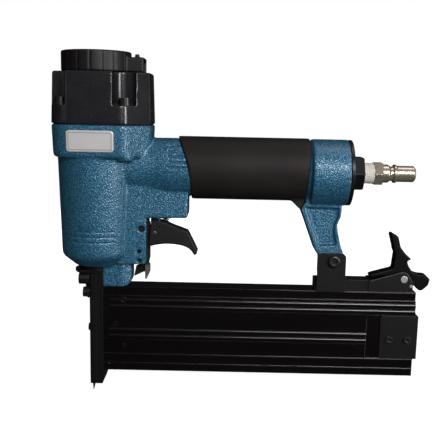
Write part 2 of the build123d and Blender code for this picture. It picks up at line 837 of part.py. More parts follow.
# Piston with its driver blade
piston_radius = bore_radius - 2 * fit
with BuildPart() as piston:
    disc(plane_z(piston_z), piston_radius, piston_thickness)
    disc(plane_z(piston_z), neck_radius, -neck_length)
    disc(plane_z(piston_top_z), piston_radius / 2, -piston_thickness / 3, mode=Mode.SUBTRACT)
    ring_groove(
        plane_z(piston_z + piston_thickness / 2 - ring_wire - fit),
        bore_radius, bore_radius - 2 * (ring_wire + fit), 2 * (ring_wire + fit),
    )
    block(
        (-blade_thickness / 2 - press, -blade_width / 2 - press, piston_z - neck_length),
        (blade_thickness / 2 + press, blade_width / 2 + press, piston_z - neck_length + blade_grip),
        mode=Mode.SUBTRACT,
    )
    pin_z = piston_z - neck_length + blade_grip / 2
    disc(plane_x(-neck_radius, pin_z), piston_pin_radius + press, 2 * neck_radius, mode=Mode.SUBTRACT)
save(piston, "piston")

with BuildPart() as piston_o_ring:
    seal_ring(
        Axis.Z, Plane.XZ, bore_radius - ring_wire - fit / 2, piston_z + piston_thickness / 2, ring_wire
    )
save(piston_o_ring, "piston_o_ring")

with BuildPart() as driver_blade:
    block(
        (-blade_thickness / 2, -blade_width / 2, blade_tip_rest),
        (blade_thickness / 2, blade_width / 2, piston_z - neck_length + blade_grip),
    )
    disc(plane_x(-blade_width, pin_z), piston_pin_radius + press, 2 * blade_width, mode=Mode.SUBTRACT)
save(driver_blade, "driver_blade")

with BuildPart() as piston_pin:
    disc(plane_x(-neck_radius + seat_gap, pin_z), piston_pin_radius, 2 * (neck_radius - seat_gap))
save(piston_pin, "piston_pin")

# Cap over the cylinder, with its gasket, screws and washers
with BuildPart() as cap_gasket:
    extrude(plan(plane_z(band_top_z), gasket_inset), amount=gasket_thickness)
    disc(plane_z(band_top_z), chamber_radius, gasket_thickness, mode=Mode.SUBTRACT)
    for x, y in corner_places:
        disc(plane_z(band_top_z, x, y), cap_screw_radius + run_gap, gasket_thickness, mode=Mode.SUBTRACT)
save(cap_gasket, "cap_gasket")

with BuildPart() as cylinder_cap:
    extrude(plan(plane_z(cap_z)), amount=cap_height, taper=cap_draft)
    fillet(cylinder_cap.faces().sort_by(Axis.Z)[-1].edges(), cap_edge)
    for x, y in corner_places:
        pocket_radius = front_pocket_radius if x < 0 else rear_pocket_radius
        out = pocket_radius * y / abs(y)
        with BuildSketch(plane_z(pocket_z, x, y)):
            Circle(pocket_radius)
            with Locations((0, out)):
                Rectangle(2 * pocket_radius, 2 * pocket_radius)
            if x < 0:
                with Locations((-pocket_radius, 0), (0, 2 * out)):
                    Rectangle(2 * pocket_radius, 2 * pocket_radius)
                with Locations((-pocket_radius, out), (-pocket_radius, 2 * out)):
                    Rectangle(2 * pocket_radius, 2 * pocket_radius)
        extrude(amount=cap_height, mode=Mode.SUBTRACT)
        disc(plane_z(cap_z, x, y), cap_screw_radius + run_gap, pocket_floor, mode=Mode.SUBTRACT)
    disc(plane_z(cap_z), valve_cavity_radius, valve_cavity_height, mode=Mode.SUBTRACT)
    disc(plane_z(cap_z), valve_stem_radius + fit, valve_chamber_height, mode=Mode.SUBTRACT)
    disc(plane_z(cap_z), deflector_screw_radius + press, cap_height, mode=Mode.SUBTRACT)
    with PolarLocations(exhaust_port_circle, 4):
        with Locations((0, 0, cap_top_z)):
            Cylinder(exhaust_port_radius, cap_height, mode=Mode.SUBTRACT)
save(cylinder_cap, "cylinder_cap")

with BuildPart() as cap_washers:
    for x, y in corner_places:
        washer_plane = plane_z(pocket_z, x, y)
        disc(washer_plane, cap_washer_radius, cap_washer_thickness, hole=cap_screw_radius + run_gap)
save(cap_washers, "cap_washers")

with BuildPart() as cap_screws:
    for x, y in corner_places:
        socket_screw(
            plane_z(pocket_z + cap_washer_thickness, x, y), cap_screw_radius, cap_screw_length,
            cap_screw_head_radius, cap_screw_head_height,
        )
save(cap_screws, "cap_screws")

# Head valve over the sleeve
with BuildPart() as head_valve:
    disc(plane_z(valve_flange_z), valve_flange_radius, valve_flange_thickness)
    disc(plane_z(valve_flange_top_z), valve_stem_radius, valve_stem_length)
    valve_height = valve_flange_thickness + valve_stem_length
    disc(plane_z(valve_flange_z), valve_stem_bore, valve_height, mode=Mode.SUBTRACT)
    stem_ring_z = valve_cavity_top_z + 2 * valve_lift
    ring_groove(
        plane_z(stem_ring_z - ring_wire - fit),
        valve_stem_radius + fit, valve_stem_radius + fit - 2 * (ring_wire + fit), 2 * (ring_wire + fit),
    )
save(head_valve, "head_valve")

with BuildPart() as head_valve_seal:
    disc(
        plane_z(valve_seal_z), valve_flange_radius, valve_seal_thickness,
        hole=valve_flange_radius - valve_seal_width,
    )
save(head_valve_seal, "head_valve_seal")

with BuildPart() as head_valve_o_ring:
    seal_ring(Axis.Z, Plane.XZ, valve_stem_radius + fit / 2 - ring_wire, stem_ring_z, ring_wire)
save(head_valve_o_ring, "head_valve_o_ring")

with BuildPart() as head_valve_spring:
    coil(
        plane_z(valve_flange_top_z), valve_spring_radius, valve_spring_wire,
        valve_cavity_top_z - valve_flange_top_z, valve_spring_turns,
    )
save(head_valve_spring, "head_valve_spring")

# Exhaust deflector that turns on the cap
hub_z = cap_top_z + deflector_washer_thickness + seat_gap
head_seat_z = deflector_top_z - deflector_screw_head_height
with BuildPart() as exhaust_deflector:
    disc(plane_z(deflector_z), deflector_radius, deflector_height)
    block((0, -spout_half, deflector_z), (spout_x, spout_half, deflector_z + spout_height))
    fillet(exhaust_deflector.edges().group_by(Axis.Z)[-1], deflector_edge)
    with PolarLocations(deflector_radius, flute_count, start_angle=flute_phase):
        with Locations((0, 0, deflector_z + deflector_height / 2)):
            Cylinder(flute_radius, 2 * deflector_height, mode=Mode.SUBTRACT)
    disc(plane_z(deflector_z + spout_height, stud_x), stud_radius, stud_height)
    inner_height = deflector_height - deflector_wall
    disc(plane_z(deflector_z), deflector_radius - deflector_wall, inner_height, mode=Mode.SUBTRACT)
    block(
        (0, -spout_half + spout_wall, deflector_z),
        (spout_x, spout_half - spout_wall, deflector_z + spout_height - spout_wall),
        mode=Mode.SUBTRACT,
    )
    disc(plane_z(hub_z), deflector_hub_radius, deflector_top_z - hub_z - 1)
    disc(plane_z(head_seat_z), deflector_screw_head_radius + run_gap, cap_height, mode=Mode.SUBTRACT)
    disc(plane_z(deflector_z), deflector_screw_radius + fit, deflector_height, mode=Mode.SUBTRACT)
save(exhaust_deflector, "exhaust_deflector")

with BuildPart() as deflector_washer:
    disc(
        plane_z(cap_top_z), deflector_hub_radius, deflector_washer_thickness,
        hole=deflector_screw_radius + fit,
    )
save(deflector_washer, "deflector_washer")

with BuildPart() as deflector_screw:
    socket_screw(
        plane_z(head_seat_z + seat_gap), deflector_screw_radius, deflector_screw_length,
        deflector_screw_head_radius, deflector_screw_head_height - 2 * seat_gap,
    )
save(deflector_screw, "deflector_screw")

# Badge, flat on the drafted side of the band
draft = radians(band_draft)
badge_plane = Plane(
    origin=(badge_x, -plan_half + badge_drop * tan(draft), band_top_z - badge_drop),
    x_dir=(1, 0, 0),
    z_dir=(0, -cos(draft), -sin(draft)),
)
with BuildPart() as badge_plate:
    with BuildSketch(badge_plane):
        RectangleRounded(badge_width, badge_height, badge_corner)
    extrude(amount=badge_thickness)
    fillet(badge_plate.faces().sort_by(Axis.Y)[0].edges(), badge_thickness / 3)
save(badge_plate, "badge_plate")

# Rubber grip, with the beak that points down along the leg
beak_low_z = handle_axis_z - leg_front_drop
beak_x = leg_front_x - 2 * run_gap
with BuildPart() as grip_sleeve:
    oval(plane_x(0, handle_axis_z), grip_half_width, grip_half_height, head_x)
    slab(
        [
            (beak_x - beak_length, leg_shoulder_z + beak_root),
            (beak_x - run_gap, beak_low_z),
            (beak_x, beak_low_z),
            (shoulder_x(leg_shoulder_z) - 2 * run_gap, leg_shoulder_z),
            (shoulder_x(leg_shoulder_z) - 2 * run_gap, leg_shoulder_z + beak_root),
        ],
        leg_half,
    )
    extrude(grip_bed(seat_gap), amount=plan_half, both=True, mode=Mode.INTERSECT)
    oval(
        plane_x(0, handle_axis_z), core_half_width + seat_gap, core_half_height + seat_gap, head_x,
        mode=Mode.SUBTRACT,
    )
save(grip_sleeve, "grip_sleeve")

# Air inlet: end cap, its seal, the tape on the thread and the quick plug
hex_end_x = head_end_x + end_flange_thickness + end_hex_length
with BuildPart() as end_cap:
    disc(plane_x(head_end_x, head_axis_z), end_flange_radius, end_flange_thickness)
    disc(plane_x(head_end_x, head_axis_z), spigot_radius, -spigot_length + seat_gap)
    hexagon(plane_x(head_end_x + end_flange_thickness, head_axis_z), end_hex_flats, end_hex_length)
    ring_groove(
        plane_x(head_end_x - spigot_length / 2 - ring_wire - fit, head_axis_z),
        spigot_radius + press, spigot_radius + press - 2 * (ring_wire + press), 2 * (ring_wire + fit),
    )
    disc(
        plane_x(hex_end_x, head_axis_z), inlet_thread_radius + press, -plug_thread_length + tape_length,
        mode=Mode.SUBTRACT,
    )
    spigot_x = head_end_x - spigot_length
    disc(plane_x(spigot_x, head_axis_z), inlet_bore + run_gap, head_length, mode=Mode.SUBTRACT)
    edge_faces = end_cap.faces().filter_by(Axis.X).sort_by(Axis.X)
    chamfer(edge_faces[-1].outer_wire().edges(), end_hex_chamfer)
save(end_cap, "end_cap")

inlet_axis = Axis((0, 0, head_axis_z), (1, 0, 0))
with BuildPart() as end_cap_o_ring:
    ring_centre = (head_end_x - spigot_length / 2, 0, head_axis_z)
    ring_plane = Plane(origin=ring_centre, x_dir=(0, 0, 1), z_dir=(0, 1, 0))
    seal_ring(inlet_axis, ring_plane, spigot_radius - ring_wire, 0, ring_wire)
save(end_cap_o_ring, "end_cap_o_ring")

plug_hex_x = hex_end_x + tape_length
with BuildPart() as thread_tape:
    disc(
        plane_x(hex_end_x, head_axis_z), inlet_thread_radius + tape_wall, tape_length,
        hole=inlet_thread_radius + press,
    )
    fillet(thread_tape.edges().group_by(Axis.X)[-1], tape_wall / 3)
save(thread_tape, "thread_tape")

neck_x = plug_hex_x + plug_hex_length
groove_x = neck_x + plug_neck_length
collar_x = groove_x + plug_groove_length
nose_x = collar_x + plug_collar_length
plug_end_x = nose_x + plug_nose_length
with BuildPart() as air_plug:
    disc(plane_x(plug_hex_x, head_axis_z), inlet_thread_radius, -plug_thread_length + run_gap)
    hexagon(plane_x(plug_hex_x, head_axis_z), plug_hex_flats, plug_hex_length)
    with BuildSketch(Plane.XZ):
        with BuildLine():
            FilletPolyline(
                (neck_x - 1, head_axis_z),
                (neck_x - 1, head_axis_z + plug_neck_radius),
                (groove_x - plug_groove_length, head_axis_z + plug_neck_radius),
                (groove_x, head_axis_z + plug_groove_radius),
                (collar_x, head_axis_z + plug_groove_radius),
                (collar_x, head_axis_z + plug_collar_radius),
                (nose_x - 1, head_axis_z + plug_collar_radius),
                (nose_x, head_axis_z + plug_nose_radius),
                (plug_end_x - plug_chamfer, head_axis_z + plug_nose_radius),
                (plug_end_x, head_axis_z + plug_nose_radius - plug_chamfer),
                (plug_end_x, head_axis_z),
                radius=plug_rounds,
                close=True,
            )
        make_face()
    revolve(axis=inlet_axis)
    bore_start_x = plug_hex_x - plug_thread_length
    disc(plane_x(bore_start_x, head_axis_z), inlet_bore, plug_end_x - bore_start_x, mode=Mode.SUBTRACT)
save(air_plug, "air_plug")

# Trigger valve
bushing_top_z = block_z + bushing_length
bushing_low_z = block_z - bushing_nose_length
stem_head_z = block_z + bushing_floor + run_gap
stem_head_top_z = stem_head_z + stem_head_height
valve_ring_places = [block_z + bushing_length * share for share in valve_ring_shares]
with BuildPart() as valve_bushing:
    disc(plane_z(block_z, stem_x), bushing_radius, bushing_length)
    disc(plane_z(block_z, stem_x), bushing_nose_radius, -bushing_nose_length)
    disc(plane_z(bushing_low_z, stem_x), stem_radius + fit, bushing_length, mode=Mode.SUBTRACT)
    disc(plane_z(block_z + bushing_floor, stem_x), bushing_chamber_radius, bushing_length, mode=Mode.SUBTRACT)
    for z in valve_ring_places:
        ring_groove(
            plane_z(z - valve_ring_wire - fit, stem_x),
            bushing_radius + press, bushing_radius - 2 * valve_ring_wire, 2 * (valve_ring_wire + fit),
        )
save(valve_bushing, "valve_bushing")

stem_axis = Axis((stem_x, 0, 0), (0, 0, 1))
with BuildPart() as valve_o_rings:
    for z in valve_ring_places:
        seal_ring(stem_axis, plane_y(0, stem_x, z), bushing_radius - valve_ring_wire, 0, valve_ring_wire)
save(valve_o_rings, "valve_o_rings")

with BuildPart() as valve_cap:
    disc(plane_z(bushing_top_z, stem_x), bushing_radius, valve_cap_thickness, hole=stem_tail_radius + fit)
save(valve_cap, "valve_cap")

with BuildPart() as valve_stem:
    disc(plane_z(stem_z, stem_x), stem_radius, stem_head_z - stem_z)
    disc(plane_z(stem_head_z, stem_x), stem_head_radius, stem_head_height)
    disc(plane_z(stem_head_top_z, stem_x), stem_tail_radius, stem_tail_length)
    fillet(valve_stem.edges().group_by(Axis.Z)[0], stem_edge)
save(valve_stem, "valve_stem")

with BuildPart() as valve_spring:
    coil(
        plane_z(stem_head_top_z, stem_x), stem_spring_radius, stem_spring_wire,
        bushing_top_z - stem_head_top_z, stem_spring_turns,
    )
save(valve_spring, "valve_spring")

# Blank of the trigger's finger piece, drawn about its own pivot
with BuildPart() as trigger_blank:
    with BuildSketch(Plane.XZ):
        with BuildLine():
            FilletPolyline(trigger_heel, *trigger_top, radius=trigger_round)
            TangentArc(trigger_tip, trigger_top[-1], tangent=(1, 0))
            Spline(trigger_tip, *trigger_finger, trigger_heel)
        make_face()
    extrude(amount=trigger_half, both=True)
    fillet(trigger_blank.faces().filter_by(Axis.Y).edges(), trigger_edge)

# Trigger, the blank in its place with a slot that straddles the lug
with BuildPart() as trigger:
    with Locations((trigger_pivot_x, 0, trigger_pivot_z)):
        add(trigger_blank.part)
    slot_rear_x = trigger_pivot_x + trigger_slot_end
    block(
        (flange_rear_x, -lug_half - run_gap, flange_z),
        (slot_rear_x, lug_half + run_gap, block_z),
        mode=Mode.SUBTRACT,
    )
    disc(
        plane_y(trigger_half, trigger_pivot_x, trigger_pivot_z), trigger_pin_radius + fit, 2 * trigger_half,
        mode=Mode.SUBTRACT,
    )
save(trigger, "trigger")

with BuildPart() as trigger_pin:
    disc(plane_y(trigger_half, trigger_pivot_x, trigger_pivot_z), trigger_pin_radius, 2 * trigger_half)
    fillet(trigger_pin.edges(), pin_edge)
save(trigger_pin, "trigger_pin")

# Trigger lock in the slot of the flange
with BuildPart() as trigger_safety:
    slab(about(lock_pivot_x, lock_pivot_z, lock_outline), lock_half, lock_edge)
    slab(about(lock_pivot_x, lock_pivot_z, lock_tab), lock_tab_half, lock_edge)
    disc(plane_y(lock_half, lock_pivot_x, lock_pivot_z), lock_eye_radius, 2 * lock_half)
    disc(
        plane_y(lock_tab_half, lock_pivot_x, lock_pivot_z), lock_pin_radius + fit, 2 * lock_tab_half,
        mode=Mode.SUBTRACT,
    )
save(trigger_safety, "trigger_safety")

with BuildPart() as safety_spring:
    coil(
        plane_y(flange_slot_half - seat_gap, lock_pivot_x, lock_pivot_z), lock_spring_radius,
        lock_spring_wire, flange_slot_half - lock_half - run_gap, lock_spring_turns,
    )
save(safety_spring, "safety_spring")

with BuildPart() as safety_pin:
    disc(plane_y(block_half, lock_pivot_x, lock_pivot_z), lock_pin_radius, 2 * block_half)
save(safety_pin, "safety_pin")

with BuildPart() as flange_pins:
    wall = block_half - flange_slot_half
    for side in (-1, 1):
        upper_pin_plane = plane_y(side * block_half, flange_pin_x, block_z - flange_pin_drop)
        disc(upper_pin_plane, flange_pin_radius, side * wall)
        lower_pin_plane = plane_y(side * (block_half - lower_pin_sink), lower_pin_x, block_z - lower_pin_drop)
        disc(lower_pin_plane, lock_pin_radius, side * (wall - lower_pin_sink))
save(flange_pins, "flange_pins")

# Nose: flange under the barrel, front plate with its pointed tip, and rear guide
slot_half_x = blade_thickness / 2 + nose_slot_play
slot_half_y = blade_width / 2 + nose_slot_play
upper_bolt_z = nose_length - upper_bolt_drop
lower_bolt_z = nose_length - lower_bolt_drop


def nose_holes(x, depth):
    """Cut the bolt and screw holes through a plate of the nose that starts at x."""
    for side in (-1, 1):
        holes = [
            (upper_bolt_z, bolt_half_pitch, upper_bolt_radius),
            (lower_bolt_z, bolt_half_pitch, lower_bolt_radius),
            (guide_screw_z, guide_screw_half_pitch, guide_screw_radius),
        ]
        for z, half_pitch, radius in holes:
            disc(plane_x(x, z, side * half_pitch), radius + press, depth, mode=Mode.SUBTRACT)


with BuildPart() as nose_flange:
    with BuildSketch(plane_z(nose_length)):
        Circle(nose_flange_radius)
        Rectangle(2 * nose_flange_radius, 2 * nose_flange_half, mode=Mode.INTERSECT)
        with Locations((mag_x, 0)):
            rear = (Align.MIN, Align.CENTER)
            Rectangle(nose_flange_radius, 2 * nose_flange_radius, align=rear, mode=Mode.SUBTRACT)
    extrude(amount=nose_flange_thickness)
    disc(plane_z(boss_z), nose_boss_radius, nose_boss_height)
    block(
        (mag_x, -nose_boss_radius, boss_z), (nose_boss_radius, nose_boss_radius, barrel_z),
        mode=Mode.SUBTRACT,
    )
    block(
        (-slot_half_x, -slot_half_y, nose_length), (slot_half_x, slot_half_y, barrel_z),
        mode=Mode.SUBTRACT,
    )
save(nose_flange, "nose_flange")

with BuildPart() as nose_front_plate:
    block((-nose_front_thickness, -nose_half, 0), (0, nose_half, nose_length))
    fillet(nose_front_plate.faces().sort_by(Axis.X)[0].edges().filter_by(Axis.Z), nose_edge)
    slab(tip_outline, tip_half)
    block((-slot_half_x, -slot_half_y, 0), (0, slot_half_y, nose_length), mode=Mode.SUBTRACT)
    nose_holes(-nose_front_thickness, nose_front_thickness)
save(nose_front_plate, "nose_front_plate")

heel_x = nose_rear_thickness + nose_heel_reach
with BuildPart() as nose_rear_guide:
    slab(
        [
            (0, 0), (nose_rear_thickness - nose_heel_inset, 0), (heel_x, mag_z - nose_heel_edge),
            (heel_x, mag_z), (nose_rear_thickness, mag_z),
            (nose_rear_thickness, nose_length), (0, nose_length),
        ],
        nose_half,
    )
    block((0, -slot_half_y, 0), (slot_half_x, slot_half_y, nose_length), mode=Mode.SUBTRACT)
    block(
        (0, -channel_half, channel_z), (nose_rear_thickness, channel_half, channel_top_z),
        mode=Mode.SUBTRACT,
    )
    nose_holes(0, nose_rear_thickness)
save(nose_rear_guide, "nose_rear_guide")


def nose_plane(y, z, out=0.0):
    """Plane on the nose's front face, or a little in front of it, facing forward."""
    return Plane(origin=(-nose_front_thickness - out, y, z), x_dir=(0, 1, 0), z_dir=(-1, 0, 0))


with BuildPart() as nose_washers:
    for side in (-1, 1):
        disc(
            nose_plane(side * bolt_half_pitch, upper_bolt_z), upper_bolt_head_radius + washer_margin,
            upper_washer_thickness, hole=upper_bolt_radius + fit,
        )
        disc(
            nose_plane(side * bolt_half_pitch, lower_bolt_z), lower_bolt_head_radius + washer_margin,
            lower_washer_thickness, hole=lower_bolt_radius + fit,
        )
save(nose_washers, "nose_washers")

with BuildPart() as nose_bolts:
    for side in (-1, 1):
        socket_screw(
            nose_plane(side * bolt_half_pitch, upper_bolt_z, upper_washer_thickness),
            upper_bolt_radius, upper_bolt_length, upper_bolt_head_radius, upper_bolt_head_height,
        )
        socket_screw(
            nose_plane(side * bolt_half_pitch, lower_bolt_z, lower_washer_thickness),
            lower_bolt_radius, nose_front_thickness + nose_rear_thickness + lower_washer_thickness,
            lower_bolt_head_radius, lower_bolt_head_height,
        )
save(nose_bolts, "nose_bolts")

with BuildPart() as nose_guide_screws:
    for side in (-1, 1):
        socket_screw(
            nose_plane(side * guide_screw_half_pitch, guide_screw_z), guide_screw_radius,
            nose_front_thickness + nose_rear_thickness, guide_screw_head_radius, guide_screw_head_height,
        )
save(nose_guide_screws, "nose_guide_screws")

# Fixed half of the magazine: the shown wall, the top rail and the floor ledge
near_y = -mag_half
lip_y = mag_half - lip_thickness
lip_top_z = mag_z + mag_floor + lip_height
rail_head_z = channel_top_z + rail_neck_height
tower_gap_x = tower_front_x - 1
with BuildPart() as fixed_magazine:
    block((mag_x, near_y, mag_z), (mag_end_x, -channel_half, channel_top_z))
    block((mag_x, -mag_top_half, channel_top_z), (mag_end_x, mag_top_half, mag_top_z))
    block((mag_x, near_y, mag_z), (mag_end_x, mag_half, mag_z + mag_floor))
    block((mag_x, lip_y, mag_z), (mag_end_x, mag_half, lip_top_z))
    # Long beads and fine edge lines on the shown face
    for drop in bead_tops:
        for row in (0, 1):
            bead_z = mag_top_z - drop - row * bead_pitch - bead_height / 2
            with BuildSketch(plane_x(mag_x + bead_start, bead_z, near_y)):
                Ellipse(bead_rise, bead_height / 2)
            extrude(amount=mag_length - bead_start)
    for drop in line_drops:
        with BuildSketch(plane_x(mag_x, mag_top_z - drop, near_y)):
            Ellipse(line_rise, line_height / 2)
        extrude(amount=mag_length)
    # Slot for the sliding half's rail, and the gap for the latch's foot
    block(
        (mag_x, rail_y - rail_neck_half - mag_play, channel_top_z),
        (mag_end_x, rail_y + rail_neck_half + mag_play, rail_head_z),
        mode=Mode.SUBTRACT,
    )
    block(
        (mag_x, rail_y - rail_head_half - mag_play, rail_head_z - mag_play),
        (mag_end_x, rail_y + rail_head_half + mag_play, rail_head_z + rail_head_height + mag_play),
        mode=Mode.SUBTRACT,
    )
    block((tower_gap_x, 0, channel_top_z), (mag_end_x, mag_top_half, mag_top_z), mode=Mode.SUBTRACT)
    # Flat that carries the rear clip, and the screw holes
    flat_low_z = mag_z + clip_low
    block(
        (flat_start_x, near_y - bead_rise, flat_low_z),
        (mag_end_x, near_y + flat_depth, flat_low_z + clip_height),
        mode=Mode.SUBTRACT,
    )
    for back, drop in mag_screws:
        hole = plane_y(near_y, mag_x + back, mag_top_z - drop)
        disc(hole, mag_screw_radius + press, -mag_screw_length - seat_gap, mode=Mode.SUBTRACT)
        disc(hole, mag_screw_head_radius + seat_gap, bead_rise, mode=Mode.SUBTRACT)
    clip_screw_x = clip_x + clip_screw_inset
    clip_screw_z = flat_low_z + clip_screw_drop
    for side in (-1, 1):
        hole = plane_y(near_y, clip_screw_x + side * clip_screw_half_pitch, clip_screw_z)
        disc(hole, clip_screw_radius + press, -clip_screw_length - seat_gap, mode=Mode.SUBTRACT)
save(fixed_magazine, "fixed_magazine")

with BuildPart() as magazine_screws:
    for back, drop in mag_screws:
        socket_screw(
            plane_y(near_y, mag_x + back, mag_top_z - drop), mag_screw_radius, mag_screw_length,
            mag_screw_head_radius, mag_screw_head_height,
        )
save(magazine_screws, "magazine_screws")

# Rear clip, an angle of sheet round the magazine's rear end
clip_y = near_y + flat_depth
clip_rear_x = mag_end_x + clip_gap
with BuildPart() as rear_clip:
    block(
        (clip_x, clip_y - clip_thickness, flat_low_z),
        (clip_rear_x + clip_thickness, clip_y, flat_low_z + clip_height),
    )
    block(
        (clip_rear_x, clip_y - clip_thickness, flat_low_z),
        (clip_rear_x + clip_thickness, -channel_half, flat_low_z + clip_height),
    )
    fillet(rear_clip.faces().sort_by(Axis.X)[0].edges().filter_by(Axis.Y), clip_corner)
    for side in (-1, 1):
        hole = plane_y(clip_y, clip_screw_x + side * clip_screw_half_pitch, clip_screw_z)
        disc(hole, clip_screw_radius + press, clip_thickness, mode=Mode.SUBTRACT)
save(rear_clip, "rear_clip")

with BuildPart() as clip_screws:
    for side in (-1, 1):
        socket_screw(
            plane_y(clip_y - clip_thickness, clip_screw_x + side * clip_screw_half_pitch, clip_screw_z),
            clip_screw_radius, clip_screw_length, clip_screw_head_radius, clip_screw_head_height,
        )
save(clip_screws, "clip_screws")

# Sliding half of the magazine, which carries the pusher and the latch
slide_y = mag_half - mag_play
slide_low_z = channel_z
slide_top_z = channel_top_z - mag_play
slide_x = mag_x + run_gap
slot_low_z = slide_low_z + pusher_slot_low
slot_top_z = slot_low_z + pusher_slot_height
slot_y = channel_half + pusher_slot_depth
rod_y = channel_half + pusher_slot_depth / 2
rod_z = (slot_low_z + slot_top_z) / 2
slot_end_x = mag_end_x - pusher_slot_end_wall
latch_base_z = mag_top_z + latch_base_gap
with BuildPart() as sliding_magazine:
    block((slide_x, channel_half, slide_low_z), (mag_end_x, slide_y, slide_top_z))
    block(
        (slide_x, lip_y - mag_play, slide_low_z), (mag_end_x, mag_half, lip_top_z + mag_play),
        mode=Mode.SUBTRACT,
    )
    block(
        (slide_x, rail_y - rail_neck_half, slide_top_z), (tower_gap_x, rail_y + rail_neck_half, rail_head_z)
    )
    block(
        (slide_x, rail_y - rail_head_half, rail_head_z),
        (tower_gap_x, rail_y + rail_head_half, rail_head_z + rail_head_height),
    )
    block(
        (tower_front_x, rail_y - tower_half, slide_top_z),
        (tower_front_x + tower_length, rail_y + tower_half, latch_base_z),
    )
    # Groove of the pusher, the bores that hold its rod and the seats of the latch screws
    block((slide_x, channel_half, slot_low_z), (slot_end_x, slot_y, slot_top_z), mode=Mode.SUBTRACT)
    disc(plane_x(slot_end_x, rod_z, rod_y), rod_radius + press, mag_end_x - slot_end_x, mode=Mode.SUBTRACT)
    for dx in latch_screw_places:
        hole = plane_z(latch_base_z, latch_x + dx, rail_y)
        disc(hole, latch_screw_radius + press, -latch_screw_length - seat_gap, mode=Mode.SUBTRACT)
save(sliding_magazine, "sliding_magazine")

# Pusher on its rod, with its spring
pusher_x = slide_x + run_gap
plate_y = channel_half - pusher_plate_thickness - run_gap
with BuildPart() as pusher:
    block(
        (pusher_x, channel_half - 2 * run_gap, slot_low_z + run_gap),
        (pusher_x + pusher_length, slot_y - run_gap, slot_top_z - run_gap),
    )
    block(
        (pusher_x, plate_y, slide_low_z + pusher_plate_margin),
        (pusher_x + pusher_length, plate_y + pusher_plate_thickness, slide_top_z - pusher_plate_margin),
    )
    disc(plane_x(pusher_x, rod_z, rod_y), rod_radius + 2 * fit, pusher_length, mode=Mode.SUBTRACT)
save(pusher, "pusher")

with BuildPart() as pusher_rod:
    disc(plane_x(pusher_x + run_gap, rod_z, rod_y), rod_radius, mag_end_x - pusher_x - run_gap)
save(pusher_rod, "pusher_rod")

with BuildPart() as pusher_spring:
    coil(
        plane_x(pusher_x + pusher_length, rod_z, rod_y), pusher_spring_radius, pusher_spring_wire,
        slot_end_x - pusher_x - pusher_length, pusher_spring_turns,
    )
save(pusher_spring, "pusher_spring")

# Bracket that ties the rear leg to the magazine
bracket_half = leg_half + seat_gap + bracket_sheet
bracket_end_x = bracket_x + bracket_length
rail_block_z = mag_top_z + rail_block_height
with BuildPart() as mount_bracket:
    block((rail_block_x, -rail_block_half, mag_top_z), (rail_block_end_x, rail_block_half, rail_block_z))
    block(
        (bracket_x, -bracket_half, mag_top_z), (bracket_end_x, bracket_half, mag_top_z + bracket_base)
    )
    for side in (-1, 1):
        cheek_x = bracket_x + (far_cheek_inset if side > 0 else 0)
        cheek = outline(
            plane_y(side * bracket_half, 0, 0),
            [
                (cheek_x, mag_top_z), (bracket_end_x, mag_top_z),
                (bracket_end_x, bracket_top_z), (cheek_x, bracket_top_z),
            ],
            [0, 0, bracket_corner, bracket_corner],
        )
        extrude(cheek, amount=side * bracket_sheet)
    disc(
        plane_y(bracket_half, mount_screw_x, mount_screw_z), mount_screw_radius + press, 2 * bracket_half,
        mode=Mode.SUBTRACT,
    )
save(mount_bracket, "mount_bracket")

with BuildPart() as mount_screw:
    socket_screw(
        plane_y(-bracket_half, mount_screw_x, mount_screw_z), mount_screw_radius,
        2 * bracket_half + mount_nut_height + 1, mount_screw_head_radius, mount_screw_head_height,
    )
    fillet(mount_screw.faces().sort_by(Axis.Y)[0].outer_wire().edges(), mount_screw_head_height / 2)
save(mount_screw, "mount_screw")

with BuildPart() as mount_nut:
    nut_plane = plane_y(bracket_half, mount_screw_x, mount_screw_z)
    hexagon(nut_plane, mount_nut_flats, -mount_nut_height)
    disc(nut_plane, mount_screw_radius + press, -mount_nut_height, mode=Mode.SUBTRACT)
save(mount_nut, "mount_nut")

# Latch: bracket on the sliding half, pin, rivet, lever and spring
cheek_inner = cheek_half - cheek_sheet
rivet_x = latch_x + rivet_offset[0]
rivet_z = latch_z + rivet_offset[1]
with BuildPart() as latch_bracket:
    block(
        (latch_x + cheek_outline[0][0], -cheek_half, latch_base_z),
        (latch_x + cheek_outline[1][0], cheek_half, latch_base_z + latch_base_sheet),
    )
    for side in (-1, 1):
        cheek_plane = plane_y(side * cheek_half, latch_x, latch_z)
        extrude(outline(cheek_plane, cheek_outline, cheek_round), amount=side * cheek_sheet)
    disc(plane_y(cheek_half, latch_x, latch_z), latch_pin_radius + press, 2 * cheek_half, mode=Mode.SUBTRACT)
    disc(plane_y(cheek_half, rivet_x, rivet_z), rivet_radius + press, 2 * cheek_half, mode=Mode.SUBTRACT)
    for dx in latch_screw_places:
        hole = plane_z(latch_base_z, latch_x + dx, rail_y)
        disc(hole, latch_screw_radius + press, latch_base_sheet, mode=Mode.SUBTRACT)
save(latch_bracket, "latch_bracket")

with BuildPart() as latch_screws:
    for dx in latch_screw_places:
        socket_screw(
            plane_z(latch_base_z + latch_base_sheet, latch_x + dx, rail_y), latch_screw_radius,
            latch_screw_length, latch_screw_head_radius, latch_screw_head_height,
        )
save(latch_screws, "latch_screws")

with BuildPart() as latch_pin:
    pin_half = cheek_half + latch_pin_head
    disc(plane_y(pin_half, latch_x, latch_z), latch_pin_radius, 2 * pin_half)
    fillet(latch_pin.edges(), pin_edge)
save(latch_pin, "latch_pin")

with BuildPart() as latch_rivets:
    for side in (-1, 1):
        rivet_plane = plane_y(side * (cheek_half + rivet_head), rivet_x, rivet_z)
        disc(rivet_plane, rivet_radius, side * (cheek_sheet + rivet_head))
save(latch_rivets, "latch_rivets")

